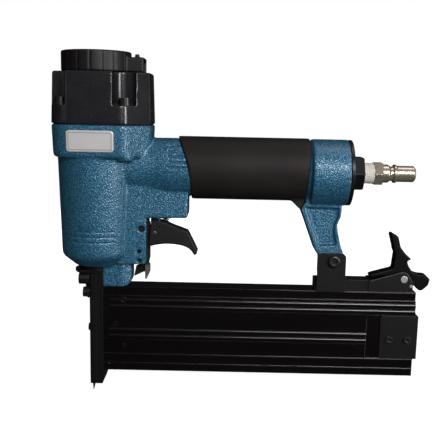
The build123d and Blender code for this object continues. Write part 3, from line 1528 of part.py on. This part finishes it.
with BuildPart() as latch_lever:
    slab(about(latch_x, latch_z, lever_front + lever_wing + lever_back + lever_nose), lever_half, lever_edge)
    disc(
        plane_y(lever_half, latch_x, latch_z), latch_pin_radius + fit, 2 * lever_half, mode=Mode.SUBTRACT
    )
save(latch_lever, "latch_lever")

with BuildPart() as latch_spring:
    coil(
        plane_y(cheek_inner - seat_gap, latch_x, latch_z), latch_spring_radius, latch_spring_wire,
        cheek_inner - lever_half - seat_gap - run_gap, latch_spring_turns,
    )
save(latch_spring, "latch_spring")
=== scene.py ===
import json
import math

import bpy
import numpy as np
from mathutils import Matrix, Vector

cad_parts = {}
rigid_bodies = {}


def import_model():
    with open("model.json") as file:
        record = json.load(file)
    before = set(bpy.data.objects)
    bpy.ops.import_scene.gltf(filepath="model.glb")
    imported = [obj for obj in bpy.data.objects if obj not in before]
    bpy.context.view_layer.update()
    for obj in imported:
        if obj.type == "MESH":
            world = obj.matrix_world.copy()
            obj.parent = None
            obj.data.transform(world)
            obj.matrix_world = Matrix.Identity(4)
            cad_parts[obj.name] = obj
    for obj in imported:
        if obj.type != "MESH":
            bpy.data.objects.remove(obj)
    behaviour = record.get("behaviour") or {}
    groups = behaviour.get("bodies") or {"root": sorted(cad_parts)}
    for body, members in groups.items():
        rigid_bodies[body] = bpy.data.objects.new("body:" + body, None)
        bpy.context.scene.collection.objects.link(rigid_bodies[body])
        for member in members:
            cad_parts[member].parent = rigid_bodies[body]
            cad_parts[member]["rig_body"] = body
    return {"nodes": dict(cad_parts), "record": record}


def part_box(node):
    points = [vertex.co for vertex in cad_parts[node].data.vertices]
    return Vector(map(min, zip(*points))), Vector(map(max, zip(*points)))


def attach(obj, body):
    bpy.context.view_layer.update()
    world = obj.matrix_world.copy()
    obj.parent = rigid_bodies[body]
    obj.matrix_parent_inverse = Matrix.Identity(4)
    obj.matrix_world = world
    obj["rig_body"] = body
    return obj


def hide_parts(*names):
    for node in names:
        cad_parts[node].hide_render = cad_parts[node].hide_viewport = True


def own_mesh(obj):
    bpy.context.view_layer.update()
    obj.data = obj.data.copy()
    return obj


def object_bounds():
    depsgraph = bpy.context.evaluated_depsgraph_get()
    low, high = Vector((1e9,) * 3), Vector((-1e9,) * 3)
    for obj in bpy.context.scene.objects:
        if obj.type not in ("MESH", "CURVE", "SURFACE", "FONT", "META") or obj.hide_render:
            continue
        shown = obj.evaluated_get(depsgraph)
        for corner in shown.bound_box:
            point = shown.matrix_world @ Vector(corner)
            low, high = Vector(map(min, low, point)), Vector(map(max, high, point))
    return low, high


# Looks of a pneumatic brad nailer: soft castings, finishes, light and camera.
# Lengths are in millimetres unless a name says otherwise; MM turns them into metres.

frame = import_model()
cad_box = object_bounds()
MM = 0.001

# Camera
photo_pixels = 447.0
focal_pixels = 700.0
sensor_mm = 36.0
camera_place = (86.59, -476.38, 193.92)
camera_pitch = 9.5
camera_roll = 1.2

# Castings and mouldings that are softened: their voxel and the rounds of smoothing
housing_voxel = 0.45
housing_rounds = 26
grip_voxel = 0.6
grip_rounds = 10
cap_voxel = 0.4
cap_rounds = 6
deflector_rounds = 8
lever_voxel = 0.35
lever_rounds = 12

# Boxes in which the casting keeps its fine detail: low corner, high corner, rounds of smoothing
zones = {
    "handle_ribs": ((46.0, -30.0, 152.0), (66.0, 30.0, 175.0), 3),
    "barrel_grooves": ((-30.0, -30.0, 100.5), (23.0, 30.0, 113.5), 4),
    "leg_recess": ((138.0, -12.0, 98.0), (168.0, 12.0, 130.0), 4),
    "pin_holes": ((26.0, -15.0, 84.0), (36.0, 15.0, 117.0), 4),
    "handle_crease": ((24.0, -20.0, 132.0), (64.0, 20.0, 150.0), 8),
    "barrel_valley": ((12.0, -20.0, 84.0), (26.0, 20.0, 150.0), 8),
}

# Span that most values of a noise fall in
noise_span = (0.3, 0.7)

# Hammered enamel: sizes of its dimples, mottle and clouds, depth of its relief and of its coat's relief
dimple_size = 1.05
dimple_smoothness = 0.3
mottle_size = 0.55
cloud_size = 11.0
relief_depth = 0.22
coat_relief_depth = 0.14

# Magazine finish: stretch of X over which its edges grow lighter, part wear and part painted highlight,
# stretch of X over which the painted highlight along its top near corner fades in, and that corner
rub_and_highlight_x = (20.0, 205.0)
shine_x = (110.0, 175.0)
corner_y = (-7.8, -8.4)
corner_z = (69.0, 69.5)

# Badge: the painted shadow line round its face that stands in for the shade of a raised rim, in from its
# edge, and how far its dark and its fading reach to each side
badge_rim = 1.5
badge_line = (0.15, 0.4)

# Thread tape: turns, points round and along it, depth of its wraps and ripples, and where its ends fall away
tape_turns = 5
tape_around = 64
tape_along = 48
tape_wave = 0.1
tape_ripple = 0.05
tape_end_start = 0.85
tape_end_fall = 0.25

# Trigger lock: height and place along X at which its bare tab begins, and how far that end fades
tab_top = 84.5
tab_start = 32.8
tab_fade = 0.4

# Studio: the floor's reach, its gap under the tool, its tone, and its glow near to and far from the tool
floor_reach = 4000.0
floor_gap = 0.2
floor_tone = 0.33
floor_glow = (0.88, 1.0)
floor_glow_metres = (0.3, 1.2)
world_fill = 0.06
lamp_aim = (90, 0, 110)

# Dark cards that only the gloss sees: two opposite corners, and how brightly each glows
flags = {
    "flag_top": ((-900, -900, 1150), (1500, 900, 1150), 0.2),
    "flag_front": ((-1500, -900, -8), (1500, -900, 1500), 0.015),
    "flag_floor": ((-900, -900, -7), (1500, 500, -7), 0.015),
    "flag_left": ((-700, -900, -8), (-700, 700, 1100), 0.015),
    "flag_right": ((1400, -900, -8), (1400, 260, 1100), 0.015),
    "flag_back": ((-700, 500, -8), (1400, 500, 1100), 0.015),
}

# Satin coatings: colour, roughness, size and depth of the grain, specular level, radius of the edges, wear
# and painted edge highlight
satin_coats = {
    "cap_black": ((33, 32, 36), 0.22, 0.5, 0.005, 0.5, 0.6, 0.12),
    "deflector_black": ((19, 15, 15), 0.46, 0.6, 0.015, 0.27, 0.3, 0.0),
    "screw_black": ((24, 24, 25), 0.34, 0.4, 0.02, 0.4, 0.25, 0.35),
    "nose_black": ((16, 16, 16), 0.45, 0.5, 0.03, 0.2, 0.35, 0.25),
    "sheet_black": ((20, 19, 21), 0.42, 0.4, 0.02, 0.25, 0.4, 0.3),
    # latch_black's strong edge lightening paints the highlight along the bracket cheek's upper edge.
    "latch_black": ((19, 18, 20), 0.42, 0.4, 0.02, 0.25, 1.1, 0.9),
    "socket_black": ((24, 24, 26), 0.3, 0.4, 0.02, 0.6, 0.35, 0.7),
    "trigger_black": ((29, 28, 30), 0.5, 0.5, 0.03, 0.2, 0.5, 0.05),
    "lever_black": ((8, 7, 9), 0.44, 0.5, 0.02, 0.12, 0.5, 0.06),
    "inlet_black": ((20, 19, 20), 0.34, 0.5, 0.015, 0.3, 0.35, 0.2),
    "seal_black": ((22, 22, 22), 0.6, 0.5, 0.02, 0.25, 0.4, 0.0),
    "valve_white": ((196, 193, 186), 0.45, 0.6, 0.02, 0.4, 0.4, 0.0),
}

# Bare metals: colour, roughness, the axis that the fine marks change along, their depth, metallic share
turned_metals = {
    "nickel": ((190, 178, 160), 0.24, "X", 0.0004, 0.75),
    "bright_steel": ((196, 194, 192), 0.34, "Y", 0.004, 0.6),
    "spring_steel": ((150, 150, 154), 0.28, "Z", 0.004, 1.0),
    "blade_steel": ((168, 168, 168), 0.3, "Z", 0.004, 1.0),
    "aluminium": ((206, 208, 210), 0.32, "Z", 0.004, 1.0),
    "brass": ((196, 170, 116), 0.26, "Y", 0.004, 1.0),
    "pin_dull": ((112, 106, 100), 0.42, "Y", 0.004, 1.0),
}

# Finish of each CAD node that keeps its shape
painted = {
    "badge_silver": ["badge_plate"],
    "screw_black": [
        "cap_screws", "cap_washers", "deflector_screw", "deflector_washer", "nose_bolts", "nose_washers",
        "nose_guide_screws", "mount_nut", "latch_screws", "flange_pins", "safety_pin",
    ],
    "socket_black": ["clip_screws", "mount_screw"],
    "nose_black": ["nose_flange", "nose_front_plate", "nose_rear_guide"],
    "trigger_black": ["trigger"],
    "lock_finish": ["trigger_safety"],
    "anodised_black": ["fixed_magazine", "sliding_magazine", "magazine_screws"],
    "sheet_black": ["rear_clip", "mount_bracket"],
    "latch_black": ["latch_bracket"],
    "inlet_black": ["end_cap"],
    "nickel": ["air_plug"],
    "bright_steel": ["latch_pin", "latch_rivets", "valve_stem", "pusher_rod", "piston_pin"],
    "brass": ["valve_bushing"],
    "pin_dull": ["trigger_pin"],
    "seal_black": [
        "cap_gasket", "end_cap_o_ring", "sleeve_o_ring", "bumper", "head_valve_seal", "head_valve_o_ring",
        "piston_o_ring", "valve_o_rings",
    ],
    "aluminium": ["cylinder_sleeve", "piston"],
    "valve_white": ["head_valve", "valve_cap"],
    "blade_steel": ["driver_blade", "pusher"],
    "spring_steel": ["head_valve_spring", "valve_spring", "safety_spring", "latch_spring", "pusher_spring"],
}


def srgb(red, green, blue):
    """Colour as seen on a screen, 0 to 255, as the linear colour that a shader takes."""
    linear = []
    for value in (red, green, blue):
        share = value / 255
        linear.append(share / 12.92 if share <= 0.04045 else ((share + 0.055) / 1.055) ** 2.4)
    return (*linear, 1.0)


class Finish:
    """A material: one Principled shader and the nodes that feed it, measured in millimetres."""

    def __init__(self, name, **values):
        self.material = bpy.data.materials.new(name)
        self.material.use_nodes = True
        self.tree = self.material.node_tree
        self.shader = self.tree.nodes["Principled BSDF"]
        for key, value in values.items():
            self.set(key.replace("_", " ").title().replace("Ior", "IOR"), value)

    def feed(self, socket, value):
        if isinstance(value, bpy.types.NodeSocket):
            self.tree.links.new(value, socket)
        else:
            socket.default_value = value

    def set(self, key, value):
        """Set or link one input of the shader."""
        self.feed(self.shader.inputs[key], value)

    def add(self, kind, sockets, **settings):
        """Add a node, with its settings and its inputs by name or number."""
        node = self.tree.nodes.new("ShaderNode" + kind)
        for key, value in settings.items():
            setattr(node, key, value)
        for key, value in sockets.items():
            self.feed(node.inputs[key], value)
        return node

    def place(self, stretch=(1, 1, 1)):
        """Place on the object in millimetres, drawn out along each axis by a stretch."""
        coordinates = self.add("TexCoord", {}).outputs["Object"]
        scale = [1 / (MM * share) for share in stretch]
        return self.vector("MULTIPLY", coordinates, scale)

    def noise(self, size, detail=2.0, stretch=(1, 1, 1)):
        """Cloudy noise from 0 to 1 with features of a size."""
        sockets = {"Vector": self.place(stretch), "Scale": 1 / size, "Detail": detail}
        return self.add("TexNoise", sockets).outputs["Fac"]

    def cells(self, size, smooth):
        """Distance from the middle of rounded cells of a size, their borders wandering a little."""
        place = self.place()
        wander = self.add("TexNoise", {"Vector": place, "Scale": 0.7 / size, "Detail": 1.0}).outputs["Color"]
        moved = self.vector("ADD", place, self.vector("MULTIPLY", wander, (size, size, size)))
        sockets = {"Vector": moved, "Scale": 1 / size, "Smoothness": smooth}
        return self.add("TexVoronoi", sockets, feature="SMOOTH_F1").outputs["Distance"]

    def remap(self, value, low, high, new_low, new_high):
        """Stretch a range of values over another one, held at its ends."""
        sockets = {"Value": value, "From Min": low, "From Max": high, "To Min": new_low, "To Max": new_high}
        return self.add("MapRange", sockets).outputs["Result"]

    def maths(self, operation, first, second):
        return self.add("Math", {0: first, 1: second}, operation=operation).outputs[0]

    def vector(self, operation, first, second):
        return self.add("VectorMath", {0: first, 1: second}, operation=operation).outputs["Vector"]

    def mix(self, share, first, second):
        """Colour between two colours."""
        return self.add("Mix", {0: share, 6: first, 7: second}, data_type="RGBA").outputs[2]

    def axis(self, name):
        """One coordinate of the place on the object."""
        return self.add("SeparateXYZ", {0: self.place()}).outputs[name]

    def rounded(self, radius):
        """Normal of the surface with its edges rounded."""
        return self.add("Bevel", {"Radius": radius * MM}, samples=6).outputs["Normal"]

    def edges(self, radius):
        """1 along edges and 0 on open faces."""
        flat = self.add("NewGeometry", {}).outputs["Normal"]
        turn = self.add("VectorMath", {0: self.rounded(radius), 1: flat}, operation="DOT_PRODUCT")
        return self.remap(turn.outputs["Value"], 0.985, 0.80, 0.0, 1.0)

    def bump(self, height, depth, radius=0.0, socket="Normal"):
        """Raise the surface by a height from 0 to 1 times a depth, with its edges rounded."""
        sockets = {"Height": height, "Distance": depth * MM}
        if radius > 0:
            sockets["Normal"] = self.rounded(radius)
        self.set(socket, self.add("Bump", sockets).outputs["Normal"])


def hammered_enamel():
    """Steel-blue hammered enamel: light dimples in a dark net, under a clear glossy coat."""
    finish = Finish("hammered_enamel", metallic=0.35, specular_ior_level=0.3)
    finish.set("Coat Weight", 0.62)
    finish.set("Coat Roughness", 0.07)
    dimples = finish.cells(dimple_size, dimple_smoothness)
    mottle = finish.noise(mottle_size, detail=3.0)
    cloud = finish.remap(finish.noise(cloud_size), *noise_span, 0.0, 0.2)
    rim = finish.remap(dimples, 0.15, 0.65, 0.0, 1.0)
    tone = finish.maths("ADD", finish.maths("MULTIPLY", rim, 0.55), finish.maths("MULTIPLY", mottle, 0.75))
    net = finish.remap(tone, 0.42, 0.86, 0.0, 1.0)
    speckled = finish.mix(net, srgb(66, 126, 156), srgb(32, 82, 108))
    finish.set("Base Color", finish.mix(cloud, speckled, srgb(44, 96, 124)))
    finish.set("Roughness", finish.remap(mottle, *noise_span, 0.42, 0.54))
    relief = finish.maths("ADD", rim, finish.maths("MULTIPLY", mottle, 0.4))
    finish.bump(relief, relief_depth)
    finish.bump(relief, coat_relief_depth, socket="Coat Normal")
    return finish.material


def satin_coat(name, tone, rough, grain, depth, specular, radius, wear_and_highlight):
    """Satin coating with a fine grain, lighter along its edges, part as wear and part as painted highlight.
    """
    finish = Finish(name, specular_ior_level=specular)
    fine = finish.noise(grain, detail=4.0)
    broad = finish.remap(finish.noise(14.0, detail=3.0), *noise_span, 0.0, 1.0)
    base = finish.mix(broad, srgb(*tone), srgb(*[0.8 * part for part in tone]))
    # Lighter edges: part wear, part painted highlight.
    worn_and_highlight_tone = srgb(*[min(255, 60 + 2.2 * part) for part in tone])
    patches = finish.remap(finish.noise(2.5), 0.35, 0.65, 0.3, 1.0)
    scuffs_and_highlights = finish.maths("MULTIPLY", finish.edges(radius), patches)
    finish.set("Base Color", finish.mix(finish.maths("MULTIPLY", scuffs_and_highlights, wear_and_highlight), base, worn_and_highlight_tone))
    finish.set("Roughness", finish.remap(fine, *noise_span, rough - 0.06, rough + 0.08))
    finish.bump(fine, depth, radius)
    return finish.material


def grip_rubber():
    """Matt rubber with a fine skin, dusty brown where the hand wears it."""
    finish = Finish("grip_rubber", specular_ior_level=0.14)
    skin = finish.noise(0.5, detail=5.0)
    dust = finish.noise(18.0, detail=4.0, stretch=(2.5, 1, 1))
    tone = finish.remap(dust, 0.35, 0.7, 0.0, 1.0)
    finish.set("Base Color", finish.mix(tone, srgb(27, 23, 23), srgb(38, 32, 32)))
    finish.set("Roughness", finish.remap(skin, *noise_span, 0.5, 0.64))
    finish.bump(skin, 0.05)
    return finish.material


def anodised_black():
    """Black anodised extrusion with faint draw lines along its length; its edges lighter, part wear and part
    painted highlight, more towards the rear, and a painted highlight along its top near corner.
    """
    finish = Finish("anodised_black", specular_ior_level=0.5)
    draw = finish.noise(0.4, detail=2.0, stretch=(400, 1, 1))
    cloud = finish.noise(24.0, stretch=(4, 1, 1))
    base = finish.mix(finish.remap(cloud, *noise_span, 0.0, 1.0), srgb(9, 7, 9), srgb(13, 10, 12))
    # Edges grow lighter towards the rear: part wear, part painted highlight.
    rub_and_highlight_gradient = finish.remap(finish.axis("X"), *rub_and_highlight_x, 0.12, 0.75)
    patches = finish.remap(finish.noise(40.0), 0.35, 0.7, 0.5, 1.0)
    edge_rub_and_highlight = finish.maths("MULTIPLY", finish.edges(0.3), patches)
    # Painted highlight along the top near corner, fading in along X.
    top = finish.remap(finish.axis("Z"), *corner_z, 0.0, 1.0)
    near = finish.remap(finish.axis("Y"), *corner_y, 0.0, 1.0)
    shine = finish.remap(finish.axis("X"), *shine_x, 0.0, 0.9)
    corner = finish.maths("MULTIPLY", finish.maths("MULTIPLY", top, near), shine)
    # bare holds the lightened edges and the painted corner highlight together.
    bare = finish.maths("MAXIMUM", finish.maths("MULTIPLY", edge_rub_and_highlight, rub_and_highlight_gradient), corner)
    finish.set("Base Color", finish.mix(bare, base, srgb(150, 143, 138)))
    finish.set("Roughness", finish.remap(draw, *noise_span, 0.16, 0.22))
    finish.bump(draw, 0.002, 0.2)
    return finish.material


def turned_metal(name, tone, rough, fine_axis, depth, metallic):
    """Bare metal with fine marks that change along one axis only."""
    finish = Finish(name, metallic=metallic)
    stretch = [1 if letter == fine_axis else 80 for letter in "XYZ"]
    lines = finish.noise(0.22, detail=2.0, stretch=stretch)
    stain = finish.noise(4.0, detail=3.0)
    dark = srgb(*[0.8 * part for part in tone])
    finish.set("Base Color", finish.mix(finish.remap(stain, 0.35, 0.75, 0.0, 0.5), srgb(*tone), dark))
    finish.set("Roughness", finish.remap(lines, *noise_span, 0.92 * rough, 1.12 * rough))
    finish.bump(lines, depth, 0.3)
    return finish.material


def lock_finish():
    """Black lever whose lower tab is bare steel."""
    finish = Finish("lock_finish", specular_ior_level=0.3)
    grain = finish.noise(0.5, detail=3.0)
    level = finish.maths("ADD", finish.axis("Z"), finish.maths("MULTIPLY", grain, 0.8))
    low = finish.remap(level, tab_top + 0.8, tab_top, 0.0, 1.0)
    rear = finish.remap(finish.axis("X"), tab_start, tab_start + tab_fade, 0.0, 1.0)
    bare = finish.maths("MULTIPLY", low, rear)
    finish.set("Base Color", finish.mix(bare, srgb(24, 23, 24), srgb(128, 123, 119)))
    finish.set("Metallic", finish.remap(bare, 0.0, 1.0, 0.0, 0.8))
    finish.set("Roughness", finish.remap(grain, *noise_span, 0.36, 0.48))
    finish.bump(grain, 0.015, 0.35)
    return finish.material


def thread_tape_white():
    """White sealing tape, its wraps showing as soft creases."""
    finish = Finish("thread_tape_white", roughness=0.62, subsurface_weight=0.15)
    finish.set("Subsurface Radius", (0.6 * MM, 0.5 * MM, 0.45 * MM))
    crease = finish.noise(0.5, detail=3.0, stretch=(1, 6, 6))
    tone = finish.remap(crease, *noise_span, 0.0, 1.0)
    finish.set("Base Color", finish.mix(tone, srgb(204, 197, 190), srgb(220, 214, 208)))
    finish.bump(crease, 0.04)
    return finish.material


def badge_silver():
    """Bare silver plate, brushed along its length, with a thin painted shadow line in from its edge in place
    of the shade of a raised rim.
    """
    finish = Finish("badge_silver", metallic=0.25)
    low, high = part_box("badge_plate")
    middle = (low + high) / 2 / MM
    half = (high - low) / 2 / MM
    inset = None
    for name, centre, reach in (("X", middle.x, half.x), ("Z", middle.z, half.z)):
        away = finish.maths("ABSOLUTE", finish.maths("SUBTRACT", finish.axis(name), centre), 0.0)
        left = finish.maths("SUBTRACT", reach, away)
        inset = left if inset is None else finish.maths("MINIMUM", inset, left)
    # Painted shadow: a thin dark line in from the edge, standing in for the shade of a raised rim.
    off_line = finish.maths("ABSOLUTE", finish.maths("SUBTRACT", inset, badge_rim), 0.0)
    rim_shadow = finish.remap(off_line, *badge_line, 1.0, 0.0)
    brushed = finish.noise(0.2, detail=3.0, stretch=(60, 1, 1))
    face = finish.mix(finish.remap(brushed, *noise_span, 0.0, 1.0), srgb(200, 198, 199), srgb(216, 214, 213))
    finish.set("Base Color", finish.mix(finish.maths("MULTIPLY", rim_shadow, 0.6), face, srgb(116, 114, 118)))
    finish.set("Roughness", finish.remap(brushed, *noise_span, 0.34, 0.44))
    finish.bump(brushed, 0.006, 1.6)
    return finish.material


def smooth_mesh(mesh, rounds, zones=()):
    """Relax a mesh: each round moves every point half way to the middle of its neighbours.

    Points inside a zone stop after the rounds of that zone.
    """
    count = len(mesh.vertices)
    points = np.empty(count * 3)
    mesh.vertices.foreach_get("co", points)
    points = points.reshape(-1, 3)
    ends = np.empty(len(mesh.edges) * 2, dtype=np.int64)
    mesh.edges.foreach_get("vertices", ends)
    first, second = ends.reshape(-1, 2).T
    degree = np.bincount(first, minlength=count) + np.bincount(second, minlength=count)
    limit = np.full(count, rounds)
    for low, high, most in zones:
        inside = ((points > np.array(low) * MM) & (points < np.array(high) * MM)).all(axis=1)
        limit[inside] = np.minimum(limit[inside], most)
    for turn in range(rounds):
        total = np.zeros_like(points)
        for axis in range(3):
            total[:, axis] = np.bincount(first, points[second, axis], count)
            total[:, axis] += np.bincount(second, points[first, axis], count)
        step = np.where(limit > turn, 0.5, 0.0)
        points += step[:, None] * (total / degree[:, None] - points)
    mesh.vertices.foreach_set("co", points.ravel())
    mesh.update()


def softened(node, name, material, voxel, rounds, zones=()):
    """Cast or moulded copy of a CAD node: its solid in small voxels, relaxed so that its edges run soft."""
    source = frame["nodes"][node]
    raw = bpy.data.objects.new(name, source.data.copy())
    bpy.context.scene.collection.objects.link(raw)
    grid = raw.modifiers.new("voxels", "REMESH")
    grid.mode = "VOXEL"
    grid.voxel_size = voxel * MM
    bpy.context.view_layer.update()
    evaluated = raw.evaluated_get(bpy.context.evaluated_depsgraph_get())
    mesh = bpy.data.meshes.new_from_object(evaluated)
    raw.modifiers.clear()
    raw.data = mesh
    smooth_mesh(mesh, rounds, zones)
    mesh.shade_smooth()
    mesh.materials.clear()
    mesh.materials.append(material)
    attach(raw, source["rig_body"])
    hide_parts(node)


def tape_wrap(material):
    """Sealing tape wound over the thread: a sleeve with uneven wraps."""
    low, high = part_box("thread_tape")
    length = (high.x - low.x) / MM
    outer = (high.z - low.z) / 2 / MM
    centre_z = (high.z + low.z) / 2 / MM
    verts = []
    for ring in range(tape_along + 1):
        share = ring / tape_along
        for step in range(tape_around):
            angle = 2 * math.pi * step / tape_around
            wrap = (share * tape_turns + step / tape_around) % 1.0
            lift = tape_wave * (abs(2 * wrap - 1) - 1) + tape_ripple * math.sin(3 * angle + 9 * share)
            fall = tape_end_fall * max(0.0, abs(2 * share - 1) - tape_end_start)
            radius = outer - tape_ripple + lift - fall
            x = low.x / MM + share * length
            verts.append((x * MM, radius * math.cos(angle) * MM, (centre_z + radius * math.sin(angle)) * MM))
    faces = []
    for ring in range(tape_along):
        for step in range(tape_around):
            here = ring * tape_around + step
            side = ring * tape_around + (step + 1) % tape_around
            faces.append((here, side, side + tape_around, here + tape_around))
    mesh = bpy.data.meshes.new("tape_wrap")
    mesh.from_pydata(verts, [], faces)
    mesh.shade_smooth()
    mesh.materials.append(material)
    wrap_object = bpy.data.objects.new("tape_wrap", mesh)
    bpy.context.scene.collection.objects.link(wrap_object)
    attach(wrap_object, "tool")
    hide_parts("thread_tape")


def shortening_spring(node):
    """Own copy of the mesh of a coil spring that a joint shortens, on the spring's body."""
    source = frame["nodes"][node]
    coil = bpy.data.objects.new(node + "_coil", source.data.copy())
    bpy.context.scene.collection.objects.link(coil)
    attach(coil, source["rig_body"])
    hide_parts(node)
    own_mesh(coil)


def paint(material, *nodes):
    """Give CAD nodes a finish."""
    for node in nodes:
        mesh = frame["nodes"][node].data
        mesh.materials.clear()
        mesh.materials.append(material)


def add_camera():
    data = bpy.data.cameras.new("camera")
    data.sensor_width = sensor_mm
    data.lens = sensor_mm * focal_pixels / photo_pixels
    pitch = math.radians(camera_pitch)
    roll = math.radians(camera_roll)
    ahead = Vector((0, math.cos(pitch), -math.sin(pitch)))
    level = Vector((1, 0, 0))
    below = Vector((0, -math.sin(pitch), -math.cos(pitch)))
    right = level * math.cos(roll) - below * math.sin(roll)
    down = below * math.cos(roll) + level * math.sin(roll)
    camera = bpy.data.objects.new("camera", data)
    turn = Matrix((right, -down, -ahead)).transposed().to_4x4()
    camera.matrix_world = Matrix.Translation(Vector(camera_place) * MM) @ turn
    bpy.context.scene.collection.objects.link(camera)
    bpy.context.scene.camera = camera


def add_lamp(name, place, aim, size, watts, diffuse=True, gloss=True):
    """Soft box that faces a point and lights the plain shade of the tool, its gloss or both."""
    data = bpy.data.lights.new(name, "AREA")
    data.shape = "RECTANGLE"
    data.size, data.size_y = size[0] * MM, size[1] * MM
    data.energy = watts
    lamp = bpy.data.objects.new(name, data)
    lamp.location = Vector(place) * MM
    facing = (Vector(aim) - Vector(place)).normalized()
    lamp.rotation_euler = facing.to_track_quat("-Z", "Y").to_euler()
    lamp.visible_diffuse = diffuse
    lamp.visible_glossy = gloss
    bpy.context.scene.collection.objects.link(lamp)


def seen_white(tree):
    """1 for rays from the camera, a reflection or through glass, which see the white background."""
    path = tree.nodes.new("ShaderNodeLightPath")
    share = path.outputs["Is Camera Ray"]
    for name in ("Is Glossy Ray", "Is Transmission Ray"):
        node = tree.nodes.new("ShaderNodeMath")
        node.operation = "MAXIMUM"
        tree.links.new(share, node.inputs[0])
        tree.links.new(path.outputs[name], node.inputs[1])
        share = node.outputs[0]
    return share


def add_world(fill):
    """White to the eye, and a weak even fill on the object."""
    world = bpy.data.worlds.new("studio")
    world.use_nodes = True
    bpy.context.scene.world = world
    tree = world.node_tree
    glow = tree.nodes["Background"]
    glow.inputs["Color"].default_value = (1, 1, 1, 1)
    glow.inputs["Strength"].default_value = fill
    white = tree.nodes.new("ShaderNodeBackground")
    white.inputs["Color"].default_value = (1, 1, 1, 1)
    white.inputs["Strength"].default_value = 1.0
    mix = tree.nodes.new("ShaderNodeMixShader")
    tree.links.new(seen_white(tree), mix.inputs[0])
    tree.links.new(glow.outputs[0], mix.inputs[1])
    tree.links.new(white.outputs[0], mix.inputs[2])
    tree.links.new(mix.outputs[0], tree.nodes["World Output"].inputs[0])


def add_floor():
    """White floor under the lowest point, which keeps a faint shadow."""
    level = cad_box[0][2] / MM - floor_gap
    floor = add_sheet("floor", (-floor_reach, -floor_reach, level), (floor_reach, floor_reach, level))
    material = bpy.data.materials.new("floor_white")
    material.use_nodes = True
    tree = material.node_tree
    tree.nodes.remove(tree.nodes["Principled BSDF"])
    paper = tree.nodes.new("ShaderNodeBsdfDiffuse")
    paper.inputs["Color"].default_value = (floor_tone, floor_tone, floor_tone, 1)
    glow = tree.nodes.new("ShaderNodeEmission")
    place = tree.nodes.new("ShaderNodeTexCoord")
    away = tree.nodes.new("ShaderNodeVectorMath")
    away.operation = "LENGTH"
    tree.links.new(place.outputs["Object"], away.inputs[0])
    rise = tree.nodes.new("ShaderNodeMapRange")
    for key, value in zip(("From Min", "From Max", "To Min", "To Max"), (*floor_glow_metres, *floor_glow)):
        rise.inputs[key].default_value = value
    tree.links.new(away.outputs["Value"], rise.inputs["Value"])
    strength = tree.nodes.new("ShaderNodeMath")
    strength.operation = "MULTIPLY"
    tree.links.new(seen_white(tree), strength.inputs[0])
    tree.links.new(rise.outputs["Result"], strength.inputs[1])
    tree.links.new(strength.outputs[0], glow.inputs["Strength"])
    both = tree.nodes.new("ShaderNodeAddShader")
    tree.links.new(paper.outputs[0], both.inputs[0])
    tree.links.new(glow.outputs[0], both.inputs[1])
    tree.links.new(both.outputs[0], tree.nodes["Material Output"].inputs[0])
    floor.data.materials.append(material)


def add_sheet(name, low, high):
    """Flat sheet of the studio between two opposite corners that share one coordinate."""
    wide, tall = [axis for axis in range(3) if low[axis] != high[axis]]
    corners = []
    for first, second in ((low, low), (high, low), (high, high), (low, high)):
        corner = Vector(low)
        corner[wide] = first[wide]
        corner[tall] = second[tall]
        corners.append(corner * MM)
    mesh = bpy.data.meshes.new(name)
    mesh.from_pydata(corners, [], [(0, 1, 2, 3)])
    sheet = bpy.data.objects.new(name, mesh)
    bpy.context.scene.collection.objects.link(sheet)
    return sheet


def add_flags():
    """Dark cards round the tool that only its gloss sees, so that it reflects a dark room."""
    for name, (low, high, level) in flags.items():
        material = bpy.data.materials.new(name)
        material.use_nodes = True
        shader = material.node_tree.nodes["Principled BSDF"]
        shader.inputs["Base Color"].default_value = (0, 0, 0, 1)
        shader.inputs["Specular IOR Level"].default_value = 0.0
        shader.inputs["Emission Color"].default_value = (1, 1, 1, 1)
        shader.inputs["Emission Strength"].default_value = level
        card = add_sheet(name, low, high)
        card.data.materials.append(material)
        card.visible_camera = False
        card.visible_diffuse = False
        card.visible_transmission = False
        card.visible_shadow = False


# Finishes
finishes = {name: satin_coat(name, *values) for name, values in satin_coats.items()}
for name, values in turned_metals.items():
    finishes[name] = turned_metal(name, *values)
finishes.update(
    hammered_enamel=hammered_enamel(),
    grip_rubber=grip_rubber(),
    anodised_black=anodised_black(),
    lock_finish=lock_finish(),
    thread_tape_white=thread_tape_white(),
    badge_silver=badge_silver(),
)
for name, nodes in painted.items():
    paint(finishes[name], *nodes)

# Springs that a joint shortens
for joint in frame["record"]["behaviour"]["joints"]:
    for spring in joint.get("deforming_nodes", []):
        shortening_spring(spring["node"])

# Softened castings and wound tape
softened(
    "body_housing", "housing_cast",
    finishes["hammered_enamel"], housing_voxel, housing_rounds, zones.values(),
)
softened(
    "grip_sleeve", "grip_soft",
    finishes["grip_rubber"], grip_voxel, grip_rounds,
)
softened(
    "cylinder_cap", "cap_moulding",
    finishes["cap_black"], cap_voxel, cap_rounds,
)
softened(
    "exhaust_deflector", "deflector_moulding",
    finishes["deflector_black"], cap_voxel, deflector_rounds,
)
softened(
    "latch_lever", "lever_moulding",
    finishes["lever_black"], lever_voxel, lever_rounds,
)
tape_wrap(finishes["thread_tape_white"])

# Studio
add_camera()
add_world(world_fill)
add_floor()
add_flags()
add_lamp("key_box", (340, -860, 500), lamp_aim, (440, 320), 8.0)
add_lamp("strip_box", (795, -423, 250), (0, 0, 140), (180, 520), 5.5, diffuse=False)
add_lamp("fill_box", (-520, -560, 380), lamp_aim, (420, 420), 0.2)
add_lamp("rear_top_box", (490, 20, 900), (190, 0, 70), (300, 600), 1.4, diffuse=False)
add_lamp("top_box", (220, -60, 900), lamp_aim, (420, 420), 0.3)
add_lamp("back_box", (90, 860, 260), lamp_aim, (700, 420), 7.0, gloss=False)
bpy.context.scene.view_settings.view_transform = "Standard"
